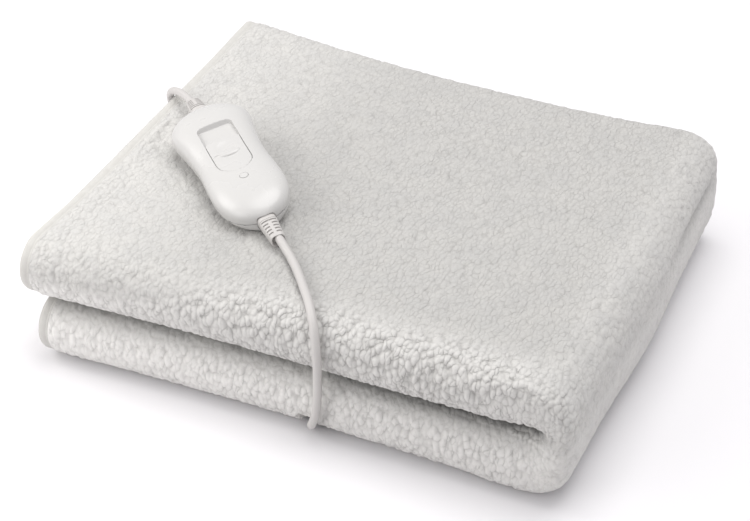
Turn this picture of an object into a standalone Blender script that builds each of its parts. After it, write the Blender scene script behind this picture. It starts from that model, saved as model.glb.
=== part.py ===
# Electric heated blanket, folded for storage, with its slide-switch controller, lead, mains flex and plug.
# Metres, +Z up. The origin is on the floor under the middle of the folded blanket, +X along its front.

import math

import bmesh
import bpy
from mathutils import Matrix, Vector

# Folded blanket: one thick sheet in four layers, then book-folded about a spine at +X.
PARCEL_LENGTH = 0.400  # upper hem to the outside of the spine
PARCEL_DEPTH = 0.362  # front noses to the back folds, at the hem end
PARCEL_HEIGHT = 0.094
PARCEL_CORNER = (-0.197266, -0.177821)  # the upper half's front left corner, seen from the origin
MIDDLE = PARCEL_HEIGHT / 2  # plane between the two halves
LAYER_THICKNESS = 0.01095
STACK_CLEARANCE = 0.0005  # each half stands this far off the middle plane
LAYERS = 4
LAYER_GAP = (MIDDLE - STACK_CLEARANCE - LAYERS * LAYER_THICKNESS) / (LAYERS - 1)
LAYER_PITCH = LAYER_THICKNESS + LAYER_GAP
LOWER_HEM_INSET = 0.0096  # the lower half's hem lies this far in from the upper one
INNER_EDGE_INSET = 0.0045  # the two long edges, in from the back folds
OUTER_EDGE_INSET = 0.0080

# Spine: the layers are squeezed where they turn, more the further in they lie.
SPINE_START = 0.353
SPINE_OUTER_REACH = PARCEL_LENGTH - SPINE_START
SPINE_INNER_REACH = 0.023
SPINE_SQUARENESS = 0.60  # 1 is a round turn, less is squarer

# How far the parcel's four sides lie from straight, at even steps along each. Less is further left or front.
HEM_LINE = ((-0.0015,), (0.0013,), (-0.0010,), (-0.0035,), (-0.0072,))  # from the front to the back
SPINE_LINE = ((-0.0010,), (-0.0009,), (0.0017,), (-0.0018,), (-0.0037,))
FRONT_LINE = ((-0.0025,), (0.0003,), (0.0007,), (-0.0022,), (-0.0048,))  # from the hems to the spine
BACK_LINE = ((0.0,), (-0.0080,), (-0.0145,), (-0.0185,), (-0.0215,), (-0.0205,))
BACK_DIP = 0.0060  # the top sinks this much at the middle of the back folds

# Binding tape, a folded strip round every edge of the sheet.
TAPE_WIDTH = 0.0100
TAPE_WALL = 0.0008
TAPE_HALF_THICKNESS = 0.0043
PINCHED_HALF_THICKNESS = 0.0032  # the sheet inside its tape
TAPE_CORNER = 0.0009
SWELL_LENGTH = 0.0067  # from the tape to the sheet's full thickness
GAP = 0.0003
SHARP_ANGLE = math.radians(35)
MERGE_DISTANCE = 0.00001

# Where the sheet's two ends are cut into sections, from the hem towards the spine.
HEM_SECTIONS = (TAPE_WALL + GAP, TAPE_WIDTH + GAP, TAPE_WIDTH + SWELL_LENGTH)
LOWER_SECTIONS = (0.090, 0.150, 0.195, 0.2022, 0.2070, 0.2190, 0.2238, 0.231, 0.290)
UPPER_SECTIONS = (0.034, 0.052, 0.070, 0.088, 0.106, 0.124, 0.142, 0.160, 0.185, 0.225, 0.290)
SPINE_STEPS = 8
TOP_LAYER_CUTS = 13
COVERED_LAYER_CUTS = 3
OUTER_NOSE_CUTS = 10
INNER_NOSE_CUTS = 5

# Controller: lengths run from its lead end, heights from its axis, widths to either side.
CONTROLLER_LENGTH = 0.143
CONTROLLER_AXIS_HEIGHT = 0.0120  # axis above its underside
CONTROLLER_PLACE = (0.0430, 0.1840, 0.1065)  # lead end of its axis, in the parcel
CONTROLLER_HEADING = -0.769
CONTROLLER_ROLL = 0.197
CONTROLLER_FORM = (  # share of the length, half width, height
    (0.00, 0.0241, 0.0280),
    (0.15, 0.0305, 0.0280),
    (0.32, 0.0276, 0.0272),
    (0.50, 0.0254, 0.0243),
    (0.68, 0.0269, 0.0236),
    (0.85, 0.0290, 0.0237),
    (1.00, 0.0302, 0.0237),
)
LEAD_END_SQUARENESS = 6.7
MAINS_END_SQUARENESS = 3.8
END_HEIGHT_SHARE = 0.45
WIDEST_SHARE = 0.567  # height of the widest line, as a share of the whole
CONTROLLER_STATIONS = 24
CONTROLLER_RING = 28
CONTROLLER_END_SHARE = 0.0008  # the first and last rings stand this share in from the tips
CROWN_POWER = 0.9  # below 1, a section is fuller than a round one
BELLY_POWER = 0.6
FLANK_POWER = 0.8
PARTING_HEIGHT = -0.0045

# Switch recess, slider and lamp on the controller.
RECESS_START = 0.0372
RECESS_SIDE_END = 0.0826
RECESS_HALF_WIDTH = 0.0132
RECESS_CORNER = 0.0035
RECESS_PIVOT = 0.0715
RECESS_FLOOR = 0.0098  # at the pivot
RECESS_TILT = 0.065  # the floor falls towards the mains end
SLIDER_START = 0.0560
SLIDER_DROP = 0.0004  # slider top under the shell's surface
RECESS_CORNER_STEPS = 3
RECESS_END_STEPS = 12
GRIP_PLACE = 0.0725
GRIP_SIZE = (0.0034, 0.0085, 0.0015)
GRIP_SINK = 0.0002  # middle of the grip under the surface
GRIP_STEPS = (20, 8)
CUTTER_TOP = 0.030  # above everything on the controller
LAMP_PLACE = 0.1045
LAMP_RADIUS = 0.0028
LAMP_BOTTOM = 0.0096
LAMP_TOP = 0.0118
LAMP_EDGE = 0.0004
LAMP_HOLE_DEPTH = 0.0100
LAMP_STEPS = 20

# Strain reliefs on the controller: along the axis, then half width, half height, height of the middle.
MAINS_RELIEF_FORM = (
    (0.0000, 0.0067, 0.0050, -0.0050),
    (0.0050, 0.0067, 0.0050, -0.0050),
    (0.0140, 0.0060, 0.0048, -0.0057),
    (0.0235, 0.0050, 0.0045, -0.0065),
    (0.0245, 0.0045, 0.0041, -0.0065),
)
LEAD_RELIEF_FORM = (
    (0.0000, 0.0067, 0.0064, 0.0012),
    (0.0030, 0.0066, 0.0063, 0.0012),
    (0.0100, 0.0057, 0.0057, 0.0008),
    (0.0150, 0.0048, 0.0048, 0.0005),
    (0.0160, 0.0044, 0.0044, 0.0005),
)
RELIEF_RING = 16
RELIEF_SQUARENESS = 0.68
LEAD_RELIEF_ROOT = 0.0040
MAINS_RELIEF_ROOT = 0.1400
POCKET_BEYOND = 0.0200  # a pocket's cutter runs this far past the shell
POCKET_EDGE = 0.0004

# Flex.
FLEX_RADIUS = 0.00303
FLEX_SPACING = 0.0120
FLEX_RESOLUTION = 3
FLEX_END_GAP = 0.0007  # a flex's end face is a little askew
ROUTE_SAMPLES = 600
FLOOR_CENTRE = 0.00320  # middle of a flex that lies on the floor

# Channel that the flex presses into the underside and under the lower nose.
CHANNEL_X = 0.2130
CHANNEL_FLAT = 0.0060
CHANNEL_EDGE = 0.0108
CHANNEL_HEIGHT = 0.0070
TUCK_CENTRE = (0.0184, 0.0271)
TUCK_RADIUS = 0.0195

# Hollow that the controller presses into the top: levels are from the unpressed top.
REST_HALF_WIDTH = 0.024
REST_FADE = 0.030
REST_LOW = -0.0028
REST_HIGH = 0.0010
REST_CLEARANCE = 0.0010

# Lead entry on the hem.
ENTRY_Y = 0.2300
ENTRY_SIZE = (0.0124, 0.0220, 0.0120)
ENTRY_EDGE = 0.0020
SLEEVE_TOP = 0.0720
SLEEVE_RADII = (0.0054, 0.0041)
SLEEVE_STEPS = 20
LEAD_X = -0.0086

# Coil behind the blanket, its ties and the plug.
COIL_CENTRE = (0.1708, 0.4042)
COIL_OUTER_RADIUS = 0.0423
COIL_INNER_RADIUS = 0.0192
COIL_LOW = 0.0013
COIL_HEIGHT = 0.0123
COIL_CORNER = 0.0018
COIL_STEPS = 40
TIE_WALL = 0.0010
TIE_WIDTH = 0.0050
TIE_CORNER = 0.0012
TIE_ANGLES = {'coil_tie_left': 120, 'coil_tie_right': -60}
PLUG_PLACE = (0.1000, 0.3790, 0.0071)  # tip of its nose, where the flex goes in; it points to -X
PLUG_FORM = (  # from the tip of the nose: half width, half height
    (0.0000, 0.0042, 0.0042),
    (0.0120, 0.0052, 0.0052),
    (0.0180, 0.0090, 0.0066),
    (0.0300, 0.0125, 0.0069),
    (0.0450, 0.0131, 0.0068),
    (0.0480, 0.0120, 0.0058),
)
PLUG_RING = 16
PLUG_SQUARENESS = 0.8
PIN_SPACING = 0.0186
PIN_RADIUS = 0.0020
PIN_LENGTH = 0.0190
PIN_STEPS = 10
PIN_EDGE = 0.0007

# Routes, each point in the parcel.
LEAD_ROUTE = (
    (0.0343, 0.1923, 0.1070),
    (0.0257, 0.1999, 0.1062),
    (0.0153, 0.2091, 0.1040),
    (0.0062, 0.2166, 0.1010),
    (-0.0022, 0.2222, 0.0971),
    (-0.0072, 0.2265, 0.0904),
    (-0.0086, 0.2297, 0.0812),
    (LEAD_X, ENTRY_Y, SLEEVE_TOP),
)
MAINS_ROUTE = (
    (0.1625, 0.0710, 0.1010),
    (0.1658, 0.0681, 0.1004),
    (0.1715, 0.0634, 0.0988),
    (0.1785, 0.0569, 0.0978),
    (0.1887, 0.0451, 0.0977),
    (0.1994, 0.0314, 0.0977),
    (0.2096, 0.0180, 0.0973),
    (0.2170, 0.0077, 0.0934),
    (0.2219, 0.0007, 0.0864),
    (0.2257, -0.0046, 0.0716),
    (0.2259, -0.0047, 0.0530),
    (0.2256, -0.0050, 0.0390),
    (0.2246, -0.0054, 0.0270),
    (0.2225, -0.0048, 0.0195),
    (0.2202, -0.0024, 0.0143),
    (0.2169, 0.0035, 0.0078),
    (0.2148, 0.0103, 0.0044),
    (0.2136, 0.0190, 0.0033),
    (0.2128, 0.0320, FLOOR_CENTRE),
    (0.2122, 0.0900, FLOOR_CENTRE),
    (0.2115, 0.1700, FLOOR_CENTRE),
    (0.2108, 0.2500, FLOOR_CENTRE),
    (0.2101, 0.3300, FLOOR_CENTRE),
    (0.2099, 0.3600, 0.0036),
    (0.2098, 0.3812, 0.0043),
)
TAIL_ROUTE = (
    (0.1282, 0.3912, 0.0100),
    (0.1229, 0.3850, 0.0095),
    (0.1154, 0.3806, 0.0084),
    (0.1075, 0.3791, 0.0073),
    (PLUG_PLACE[0], PLUG_PLACE[1], PLUG_PLACE[2]),
)


# ---- small helpers ----

def smooth_step(value):
    value = min(1.0, max(0.0, value))
    return value * value * (3 - 2 * value)


def signed_power(value, power):
    return math.copysign(abs(value) ** power, value)


def curve_through(points, share):
    """A smooth curve through points of any dimension, read at a share from 0 to 1 counted in points."""
    last = len(points) - 1
    place = min(max(share, 0.0), 1.0) * last
    start = min(int(place), last - 1)
    t = place - start
    before, a, b, after = (points[min(max(start + step, 0), last)] for step in (-1, 0, 1, 2))
    return tuple(
        0.5 * (2 * q + (r - p) * t + (2 * p - 5 * q + 4 * r - s) * t * t + (3 * q - p - 3 * r + s) * t ** 3)
        for p, q, r, s in zip(before, a, b, after)
    )


def table_value(table, place):
    """Smooth values between the rows of a table whose first column is the place."""
    places = [row[0] for row in table]
    last = len(places) - 1
    row = 0
    while row < last - 1 and place > places[row + 1]:
        row += 1
    inside = (place - places[row]) / (places[row + 1] - places[row])
    return curve_through([row[1:] for row in table], (row + min(1.0, max(0.0, inside))) / last)


def new_object(name, mesh_or_curve, material, parent=None, collection=None):
    thing = bpy.data.objects.new(name, mesh_or_curve)
    (collection or part_collection).objects.link(thing)
    thing.parent = parent
    if material:
        mesh_or_curve.materials.append(material)
    return thing


def mesh_from(bm, name):
    bmesh.ops.remove_doubles(bm, verts=bm.verts, dist=MERGE_DISTANCE)
    bmesh.ops.recalc_face_normals(bm, faces=bm.faces)
    mesh = bpy.data.meshes.new(name)
    bm.to_mesh(mesh)
    bm.free()
    mesh.shade_smooth()
    mesh.set_sharp_from_angle(angle=SHARP_ANGLE)
    return mesh


def loft(name, rings, strip_caps=False):
    """A closed body through rings of equal length. Strip caps join each ring's first half to its second."""
    bm = bmesh.new()
    rows = [[bm.verts.new(point) for point in ring] for ring in rings]
    count = len(rows[0])
    for row, following in zip(rows, rows[1:]):
        for i in range(count):
            j = (i + 1) % count
            bm.faces.new((row[i], row[j], following[j], following[i]))
    for row in (rows[0], rows[-1]):
        if strip_caps:
            for i in range(count // 2 - 1):
                bm.faces.new((row[i], row[i + 1], row[count - 2 - i], row[count - 1 - i]))
        else:
            bm.faces.new(row)
    return mesh_from(bm, name)


def rounded_box(name, size, edge):
    bm = bmesh.new()
    bmesh.ops.create_cube(bm, size=1)
    bmesh.ops.scale(bm, vec=size, verts=bm.verts)
    bmesh.ops.bevel(bm, geom=list(bm.edges), offset=edge, segments=2, affect='EDGES', profile=0.5)
    return mesh_from(bm, name)


def cone(name, low_radius, high_radius, length, steps):
    bm = bmesh.new()
    bmesh.ops.create_cone(
        bm, cap_ends=True, segments=steps, radius1=low_radius, radius2=high_radius, depth=length)
    return mesh_from(bm, name)


def boolean(target, operation, cutter):
    modifier = target.modifiers.new(operation.title() + ' ' + cutter.name, 'BOOLEAN')
    modifier.operation = operation
    modifier.object = cutter


def cutter_object(name, mesh, parent):
    thing = new_object(name, mesh, None, parent, cutter_collection)
    thing.hide_render = True
    thing.display_type = 'WIRE'
    return thing


def principled(name, colour, roughness, metallic=0.0):
    material = bpy.data.materials.new(name)
    material.use_nodes = True
    shader = material.node_tree.nodes['Principled BSDF']
    shader.inputs['Base Color'].default_value = (*colour, 1)
    shader.inputs['Roughness'].default_value = roughness
    shader.inputs['Metallic'].default_value = metallic
    return material


# ---- the folded sheet ----

def straight(start, end, height, cuts, edge_cuts=()):
    """Middle line of a flat layer as (depth, height) points with their left normals."""
    heading = math.copysign(1, end - start)
    places = [start + (end - start) * i / cuts for i in range(cuts + 1)] + list(edge_cuts)
    places.sort(reverse=heading < 0)
    return [((place, height), (0, heading)) for place in places]


def bend(centre, radius, start, turn, cuts):
    """Middle line of a fold, from a start angle in half turns round its centre."""
    points = []
    for i in range(1, cuts):
        angle = math.pi * (start + turn * i / cuts)
        outward = (math.cos(angle), math.sin(angle))
        side = -math.copysign(1, turn)
        points.append((
            (centre[0] + radius * outward[0], centre[1] + radius * outward[1]),
            (side * outward[0], side * outward[1]),
        ))
    return points


def layer_height(layer):
    """Middle of a layer above the middle plane; layer 0 is the innermost."""
    return STACK_CLEARANCE + LAYER_THICKNESS / 2 + layer * LAYER_PITCH


NOSE_RADIUS = (layer_height(3) - layer_height(0)) / 2  # middle line of the outer front fold
NOSE_CENTRE = (NOSE_RADIUS + LAYER_THICKNESS / 2, (layer_height(3) + layer_height(0)) / 2)
TURN_BACK_RADIUS = LAYER_PITCH / 2  # middle line of the two tight folds
BACK_CENTRE_Y = PARCEL_DEPTH - TURN_BACK_RADIUS - LAYER_THICKNESS / 2
INNER_EDGE_Y = PARCEL_DEPTH - INNER_EDGE_INSET - TAPE_WALL - GAP  # cut edge of the second layer
OUTER_EDGE_Y = PARCEL_DEPTH - OUTER_EDGE_INSET - TAPE_WALL - GAP  # cut edge of the innermost layer


def folded_section():
    """The sheet's middle line across the strip: one back-and-forth path of four layers and three folds."""
    front = NOSE_CENTRE[0]
    pinch = [TAPE_WIDTH - TAPE_WALL, TAPE_WIDTH - TAPE_WALL + SWELL_LENGTH]
    inner_pinch, outer_pinch = ([edge - p for p in pinch] for edge in (INNER_EDGE_Y, OUTER_EDGE_Y))
    path = straight(INNER_EDGE_Y, front, layer_height(1), COVERED_LAYER_CUTS, inner_pinch)
    path += bend((front, NOSE_CENTRE[1]), TURN_BACK_RADIUS, -0.5, -1, INNER_NOSE_CUTS)
    path += straight(front, BACK_CENTRE_Y, layer_height(2), COVERED_LAYER_CUTS)
    back_middle = (layer_height(2) + layer_height(3)) / 2
    path += bend((BACK_CENTRE_Y, back_middle), TURN_BACK_RADIUS, -0.5, 1, INNER_NOSE_CUTS)
    path += straight(BACK_CENTRE_Y, front, layer_height(3), TOP_LAYER_CUTS)
    path += bend((front, NOSE_CENTRE[1]), NOSE_RADIUS, 0.5, 1, OUTER_NOSE_CUTS)
    path += straight(front, OUTER_EDGE_Y, layer_height(0), COVERED_LAYER_CUTS, outer_pinch)
    return path


def edge_share(distance):
    """0 inside the tape, 1 where the sheet has its full thickness."""
    return smooth_step((distance - TAPE_WIDTH + TAPE_WALL) / SWELL_LENGTH)


def half_thickness(index, count, point, hem_distance):
    """Half the sheet's thickness at a point of its section, pinched towards its bound edges."""
    share = edge_share(hem_distance - TAPE_WALL)
    if index <= COVERED_LAYER_CUTS + 1:
        share = min(share, edge_share(INNER_EDGE_Y - point[0]))
    if index >= count - COVERED_LAYER_CUTS - 2:
        share = min(share, edge_share(OUTER_EDGE_Y - point[0]))
    return PINCHED_HALF_THICKNESS + (LAYER_THICKNESS / 2 - PINCHED_HALF_THICKNESS) * share


def uneven(point):
    """The folds as they really lie: off square, off straight and lower at the middle of the back."""
    x, y, z = point
    along, deep = x / PARCEL_LENGTH, y / PARCEL_DEPTH
    hem_side, spine_side = curve_through(HEM_LINE, deep)[0], curve_through(SPINE_LINE, deep)[0]
    front_side, back_side = curve_through(FRONT_LINE, along)[0], curve_through(BACK_LINE, along)[0]
    x += hem_side * (1 - along) + spine_side * along
    y += front_side * (1 - deep) + back_side * deep
    z *= 1 - BACK_DIP / PARCEL_HEIGHT * 4 * along * (1 - along) * deep ** 3
    return Vector((x, y, z))


def placed(section, y, height):
    """A point of the folded strip: its section is a place along X and a turn about the spine."""
    x, turn = section
    outwards = (height - STACK_CLEARANCE) / (MIDDLE - STACK_CLEARANCE)
    reach = SPINE_INNER_REACH + (SPINE_OUTER_REACH - SPINE_INNER_REACH) * outwards
    across = max(0.0, math.cos(turn)) ** SPINE_SQUARENESS * reach
    up = signed_power(math.sin(turn), SPINE_SQUARENESS) * height
    return uneven((x + across, y, MIDDLE + up))


def sections_along():
    """Sections from the lower hem round the spine to the upper hem, each with its distance from its hem."""
    quarter = math.pi / 2
    lower = [LOWER_HEM_INSET + step for step in HEM_SECTIONS] + list(LOWER_SECTIONS)
    upper = list(HEM_SECTIONS) + list(UPPER_SECTIONS)
    sections = [((x, -quarter), x - LOWER_HEM_INSET) for x in lower]
    for i in range(SPINE_STEPS + 1):
        sections.append(((SPINE_START, -quarter + math.pi * i / SPINE_STEPS), SPINE_START))
    sections += [((x, quarter), x) for x in reversed(upper)]
    return sections


def channel_share(section_x):
    return 1 - smooth_step((abs(section_x - CHANNEL_X) - CHANNEL_FLAT) / (CHANNEL_EDGE - CHANNEL_FLAT))


def pressed_by_flex(point, section_x):
    """The underside and the lower nose give way round the flex."""
    x, y, z = point
    share = channel_share(section_x)
    if share == 0:
        return point
    away = math.hypot(y - TUCK_CENTRE[0], z - TUCK_CENTRE[1])
    if y < TUCK_CENTRE[0] and z < MIDDLE / 2 and away > TUCK_RADIUS:
        inner = [TUCK_CENTRE[i] + (c - TUCK_CENTRE[i]) * TUCK_RADIUS / away for i, c in enumerate((y, z))]
        return Vector((x, y + (inner[0] - y) * share, z + (inner[1] - z) * share))
    if y >= TUCK_CENTRE[0] and z < CHANNEL_HEIGHT:
        return Vector((x, y, z + (CHANNEL_HEIGHT - z) * share))
    return point


def pressed_by_controller(point):
    """The top gives way under the controller, which lies rolled to one side."""
    heading = Vector((math.cos(CONTROLLER_HEADING), math.sin(CONTROLLER_HEADING)))
    from_end = Vector(point[:2]) - Vector(CONTROLLER_PLACE[:2])
    along = from_end.dot(heading)
    aside = from_end.dot(Vector((-heading[1], heading[0])))
    beyond = Vector((
        max(0.0, -along, along - CONTROLLER_LENGTH),
        max(0.0, abs(aside) - REST_HALF_WIDTH),
    )).length
    underside = CONTROLLER_PLACE[2] - CONTROLLER_AXIS_HEIGHT * math.cos(CONTROLLER_ROLL)
    rest = underside + aside * math.sin(CONTROLLER_ROLL) - REST_CLEARANCE - PARCEL_HEIGHT
    rest = min(REST_HIGH, max(REST_LOW, rest))
    return point + Vector((0, 0, rest * (1 - smooth_step(beyond / REST_FADE))))


def blanket_cloth():
    path = folded_section()
    rings = []
    for section, hem_distance in sections_along():
        left, right = [], []
        for index, ((y, height), (normal_y, normal_h)) in enumerate(path):
            half = half_thickness(index, len(path), (y, height), hem_distance)
            left.append(placed(section, y + normal_y * half, height + normal_h * half))
            outer_height = height - normal_h * half
            point = placed(section, y - normal_y * half, outer_height)
            on_face = math.isclose(outer_height, MIDDLE, abs_tol=MERGE_DISTANCE)
            if section[1] < 0:
                point = pressed_by_flex(point, section[0])
            elif on_face and section[1] > 0 and section[0] < SPINE_START:
                point = pressed_by_controller(point)
            right.append(point)
        rings.append(left + right[::-1])
    new_object('blanket_cloth', loft('blanket_cloth', rings, strip_caps=True), fleece, parcel)


def tape_profile():
    """Folded strip as (distance in from the edge, offset from the sheet's middle)."""
    wide, outer, inner = TAPE_WIDTH, TAPE_HALF_THICKNESS, TAPE_HALF_THICKNESS - TAPE_WALL
    half = [(wide, outer), (TAPE_CORNER, outer), (0, outer - TAPE_CORNER)]
    return (
        half + [(q, -o) for q, o in reversed(half)]
        + [(wide, -inner), (TAPE_WALL, -inner), (TAPE_WALL, inner), (wide, inner)]
    )


def hem_binding(name, hem_x, turn):
    path = folded_section()
    first, last = path[0], path[-1]
    overrun = TAPE_WALL + GAP
    path[0] = ((first[0][0] + overrun, first[0][1]), first[1])
    path[-1] = ((last[0][0] + overrun, last[0][1]), last[1])
    rings = []
    for (y, height), (normal_y, normal_h) in path:
        rings.append([
            placed((hem_x + q, turn), y + normal_y * o, height + normal_h * o) for q, o in tape_profile()
        ])
    new_object(name, loft(name, rings), tape, parcel)


def edge_binding(name, edge_y, layer):
    outer_y = edge_y + TAPE_WALL + GAP
    quarter = math.pi / 2
    sections = [section for section, distance in sections_along() if distance > TAPE_WIDTH + GAP]
    sections.insert(0, (LOWER_HEM_INSET + TAPE_WIDTH + GAP, -quarter))
    sections.append((TAPE_WIDTH + GAP, quarter))
    height = layer_height(layer)
    rings = [[placed(section, outer_y - q, height + o) for q, o in tape_profile()] for section in sections]
    new_object(name, loft(name, rings), tape, parcel)


# ---- the controller ----

def controller_ring(share, drop=0.0):
    half_width, height = table_value(CONTROLLER_FORM, share)
    squareness = LEAD_END_SQUARENESS if share < 0.5 else MAINS_END_SQUARENESS
    fullness = 1 - abs(2 * share - 1) ** squareness
    half_width *= math.sqrt(max(fullness, 0.0))
    height *= END_HEIGHT_SHARE + (1 - END_HEIGHT_SHARE) * math.sqrt(max(fullness, 0.0))
    ring = []
    for i in range(CONTROLLER_RING):
        angle = 2 * math.pi * (i + 0.5) / CONTROLLER_RING
        rise = math.sin(angle)
        if rise > 0:
            level = WIDEST_SHARE + (1 - WIDEST_SHARE) * rise ** CROWN_POWER
        else:
            level = WIDEST_SHARE - WIDEST_SHARE * abs(rise) ** BELLY_POWER
        ring.append((
            share * CONTROLLER_LENGTH,
            signed_power(math.cos(angle), FLANK_POWER) * half_width,
            level * height - CONTROLLER_AXIS_HEIGHT - drop,
        ))
    return ring


def controller_form(name, drop=0.0):
    shares = [(1 - math.cos(math.pi * i / CONTROLLER_STATIONS)) / 2 for i in range(CONTROLLER_STATIONS + 1)]
    shares[0], shares[-1] = CONTROLLER_END_SHARE, 1 - CONTROLLER_END_SHARE
    return loft(name, [controller_ring(share, drop) for share in shares])


def cut_level(mesh, level, keep_above):
    """Keeps one side of a level plane and closes the cut."""
    bm = bmesh.new()
    bm.from_mesh(mesh)
    cut = bmesh.ops.bisect_plane(
        bm, geom=list(bm.verts) + list(bm.edges) + list(bm.faces), dist=MERGE_DISTANCE / 10,
        plane_co=(0, 0, level), plane_no=(0, 0, 1), clear_inner=keep_above, clear_outer=not keep_above,
    )
    edges = [item for item in cut['geom_cut'] if isinstance(item, bmesh.types.BMEdge)]
    bmesh.ops.edgeloop_fill(bm, edges=edges)
    bmesh.ops.recalc_face_normals(bm, faces=bm.faces)
    bm.to_mesh(mesh)
    bm.free()
    mesh.shade_smooth()
    mesh.set_sharp_from_angle(angle=SHARP_ANGLE)
    return mesh


def recess_prism(name, start, inset, low, high):
    """Prism of the switch recess: straight sides, rounded start, half-round end, turned with its floor."""
    half = RECESS_HALF_WIDTH - inset
    corner = RECESS_CORNER - inset
    outline = []
    for middle, first in ((half - corner, 0.5), (corner - half, 1.0)):
        for i in range(RECESS_CORNER_STEPS + 1):
            angle = math.pi * (first + i / RECESS_CORNER_STEPS / 2)
            outline.append((
                start + inset + corner + corner * math.cos(angle),
                middle + corner * math.sin(angle),
            ))
    for i in range(RECESS_END_STEPS + 1):
        angle = math.pi * (i / RECESS_END_STEPS - 0.5)
        outline.append((RECESS_SIDE_END + half * math.cos(angle), half * math.sin(angle)))
    mesh = loft(name, [[(x, y, z) for x, y in outline] for z in (low, high)])
    pivot = Matrix.Translation((RECESS_PIVOT, 0, RECESS_FLOOR))
    mesh.transform(pivot @ Matrix.Rotation(RECESS_TILT, 4, 'Y') @ pivot.inverted())
    return mesh


def controller():
    """Two shells that part on a level line, the recess with its slider, and the lamp."""
    recess = cutter_object(
        'recess_cutter', recess_prism('recess_cutter', RECESS_START, 0.0, RECESS_FLOOR, CUTTER_TOP), holder)
    hole_radius = LAMP_RADIUS + GAP
    lamp_hole = cutter_object(
        'lamp_cutter', cone('lamp_cutter', hole_radius, hole_radius, LAMP_HOLE_DEPTH, LAMP_STEPS), holder)
    lamp_hole.location = (LAMP_PLACE, 0, LAMP_BOTTOM - GAP + LAMP_HOLE_DEPTH / 2)
    pockets = []
    for name, low_x, high_x, (_, half_width, half_height, middle) in (
        ('lead_pocket', -POCKET_BEYOND, LEAD_RELIEF_ROOT + GAP, LEAD_RELIEF_FORM[0]),
        ('mains_pocket', MAINS_RELIEF_ROOT - GAP, CONTROLLER_LENGTH + POCKET_BEYOND, MAINS_RELIEF_FORM[0]),
    ):
        size = (high_x - low_x, 2 * (half_width + GAP), 2 * (half_height + GAP))
        pocket = cutter_object(name, rounded_box(name, size, POCKET_EDGE), holder)
        pocket.location = ((low_x + high_x) / 2, 0, middle)
        pockets.append(pocket)

    top_mesh = cut_level(controller_form('controller_top'), PARTING_HEIGHT + GAP / 2, True)
    top = new_object('controller_top', top_mesh, shell, holder)
    base_mesh = cut_level(controller_form('controller_base'), PARTING_HEIGHT - GAP / 2, False)
    base = new_object('controller_base', base_mesh, shell, holder)
    for part in (top, base):
        for pocket in pockets:
            boolean(part, 'DIFFERENCE', pocket)
    boolean(top, 'DIFFERENCE', recess)
    boolean(top, 'DIFFERENCE', lamp_hole)

    skin = cutter_object('slider_skin', controller_form('slider_skin', SLIDER_DROP), holder)
    prism = recess_prism('switch_slider', SLIDER_START - GAP, GAP, RECESS_FLOOR + GAP, CUTTER_TOP)
    slider = new_object('switch_slider', prism, shell, holder)
    boolean(slider, 'INTERSECT', skin)
    grip = bmesh.new()
    bmesh.ops.create_uvsphere(grip, u_segments=GRIP_STEPS[0], v_segments=GRIP_STEPS[1], radius=1)
    bmesh.ops.scale(grip, vec=GRIP_SIZE, verts=grip.verts)
    grip_form = cutter_object('grip_form', mesh_from(grip, 'grip_form'), holder)
    surface = table_value(CONTROLLER_FORM, GRIP_PLACE / CONTROLLER_LENGTH)[1] - CONTROLLER_AXIS_HEIGHT
    grip_form.location = (GRIP_PLACE, 0, surface - GRIP_SINK)
    boolean(slider, 'UNION', grip_form)

    lens_mesh = cone('lamp_lens', LAMP_RADIUS, LAMP_RADIUS, LAMP_TOP - LAMP_BOTTOM, LAMP_STEPS)
    lens = new_object('lamp_lens', lens_mesh, clear, holder)
    lens.location = (LAMP_PLACE, 0, (LAMP_TOP + LAMP_BOTTOM) / 2)
    edge = lens.modifiers.new('Rounded edge', 'BEVEL')
    edge.width = LAMP_EDGE
    edge.segments = 1


def relief_mesh(name, form, ring_steps, squareness):
    """Tapered body with rounded-rectangle rings, along +X."""
    rings = []
    for place, half_width, half_height, middle in form:
        ring = []
        for i in range(ring_steps):
            angle = 2 * math.pi * (i + 0.5) / ring_steps
            ring.append((
                place,
                half_width * signed_power(math.cos(angle), squareness),
                middle + half_height * signed_power(math.sin(angle), squareness),
            ))
        rings.append(ring)
    return loft(name, rings)


def reliefs():
    """A relief at each end of the controller, the lead's turned round to point outwards."""
    for name, form, root, turn in (
        ('mains_relief', MAINS_RELIEF_FORM, MAINS_RELIEF_ROOT, 0),
        ('lead_relief', LEAD_RELIEF_FORM, LEAD_RELIEF_ROOT, math.pi),
    ):
        mesh = relief_mesh(name, form, RELIEF_RING, RELIEF_SQUARENESS)
        relief = new_object(name, mesh, rubber, holder)
        relief.location = (root, 0, 0)
        relief.rotation_euler = (0, 0, turn)


# ---- lead, flex, coil and plug ----

def flex(name, route):
    """Round flex on a smooth curve through the route's points, read at even steps."""
    fine = [Vector(curve_through(route, i / ROUTE_SAMPLES)) for i in range(ROUTE_SAMPLES + 1)]
    length = sum((b - a).length for a, b in zip(fine, fine[1:]))
    steps = max(2, round(length / FLEX_SPACING))
    points, walked, wanted = [fine[0]], 0.0, length / steps
    for a, b in zip(fine, fine[1:]):
        walked += (b - a).length
        if walked >= wanted * len(points) and len(points) < steps:
            points.append(b)
    points.append(fine[-1])
    curve = bpy.data.curves.new(name, 'CURVE')
    curve.dimensions = '3D'
    curve.bevel_depth = FLEX_RADIUS
    curve.bevel_resolution = FLEX_RESOLUTION
    curve.use_fill_caps = True
    spline = curve.splines.new('POLY')
    spline.points.add(len(points) - 1)
    for spot, point in zip(spline.points, points):
        spot.co = (*point, 1)
    new_object(name, curve, rubber, parcel)


def pulled_back(route, first, last):
    """A route whose two ends stop short of what they meet."""
    points = [Vector(point) for point in route]
    points[0] += (points[1] - points[0]).normalized() * first
    points[-1] += (points[-2] - points[-1]).normalized() * last
    return [tuple(point) for point in points]


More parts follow.
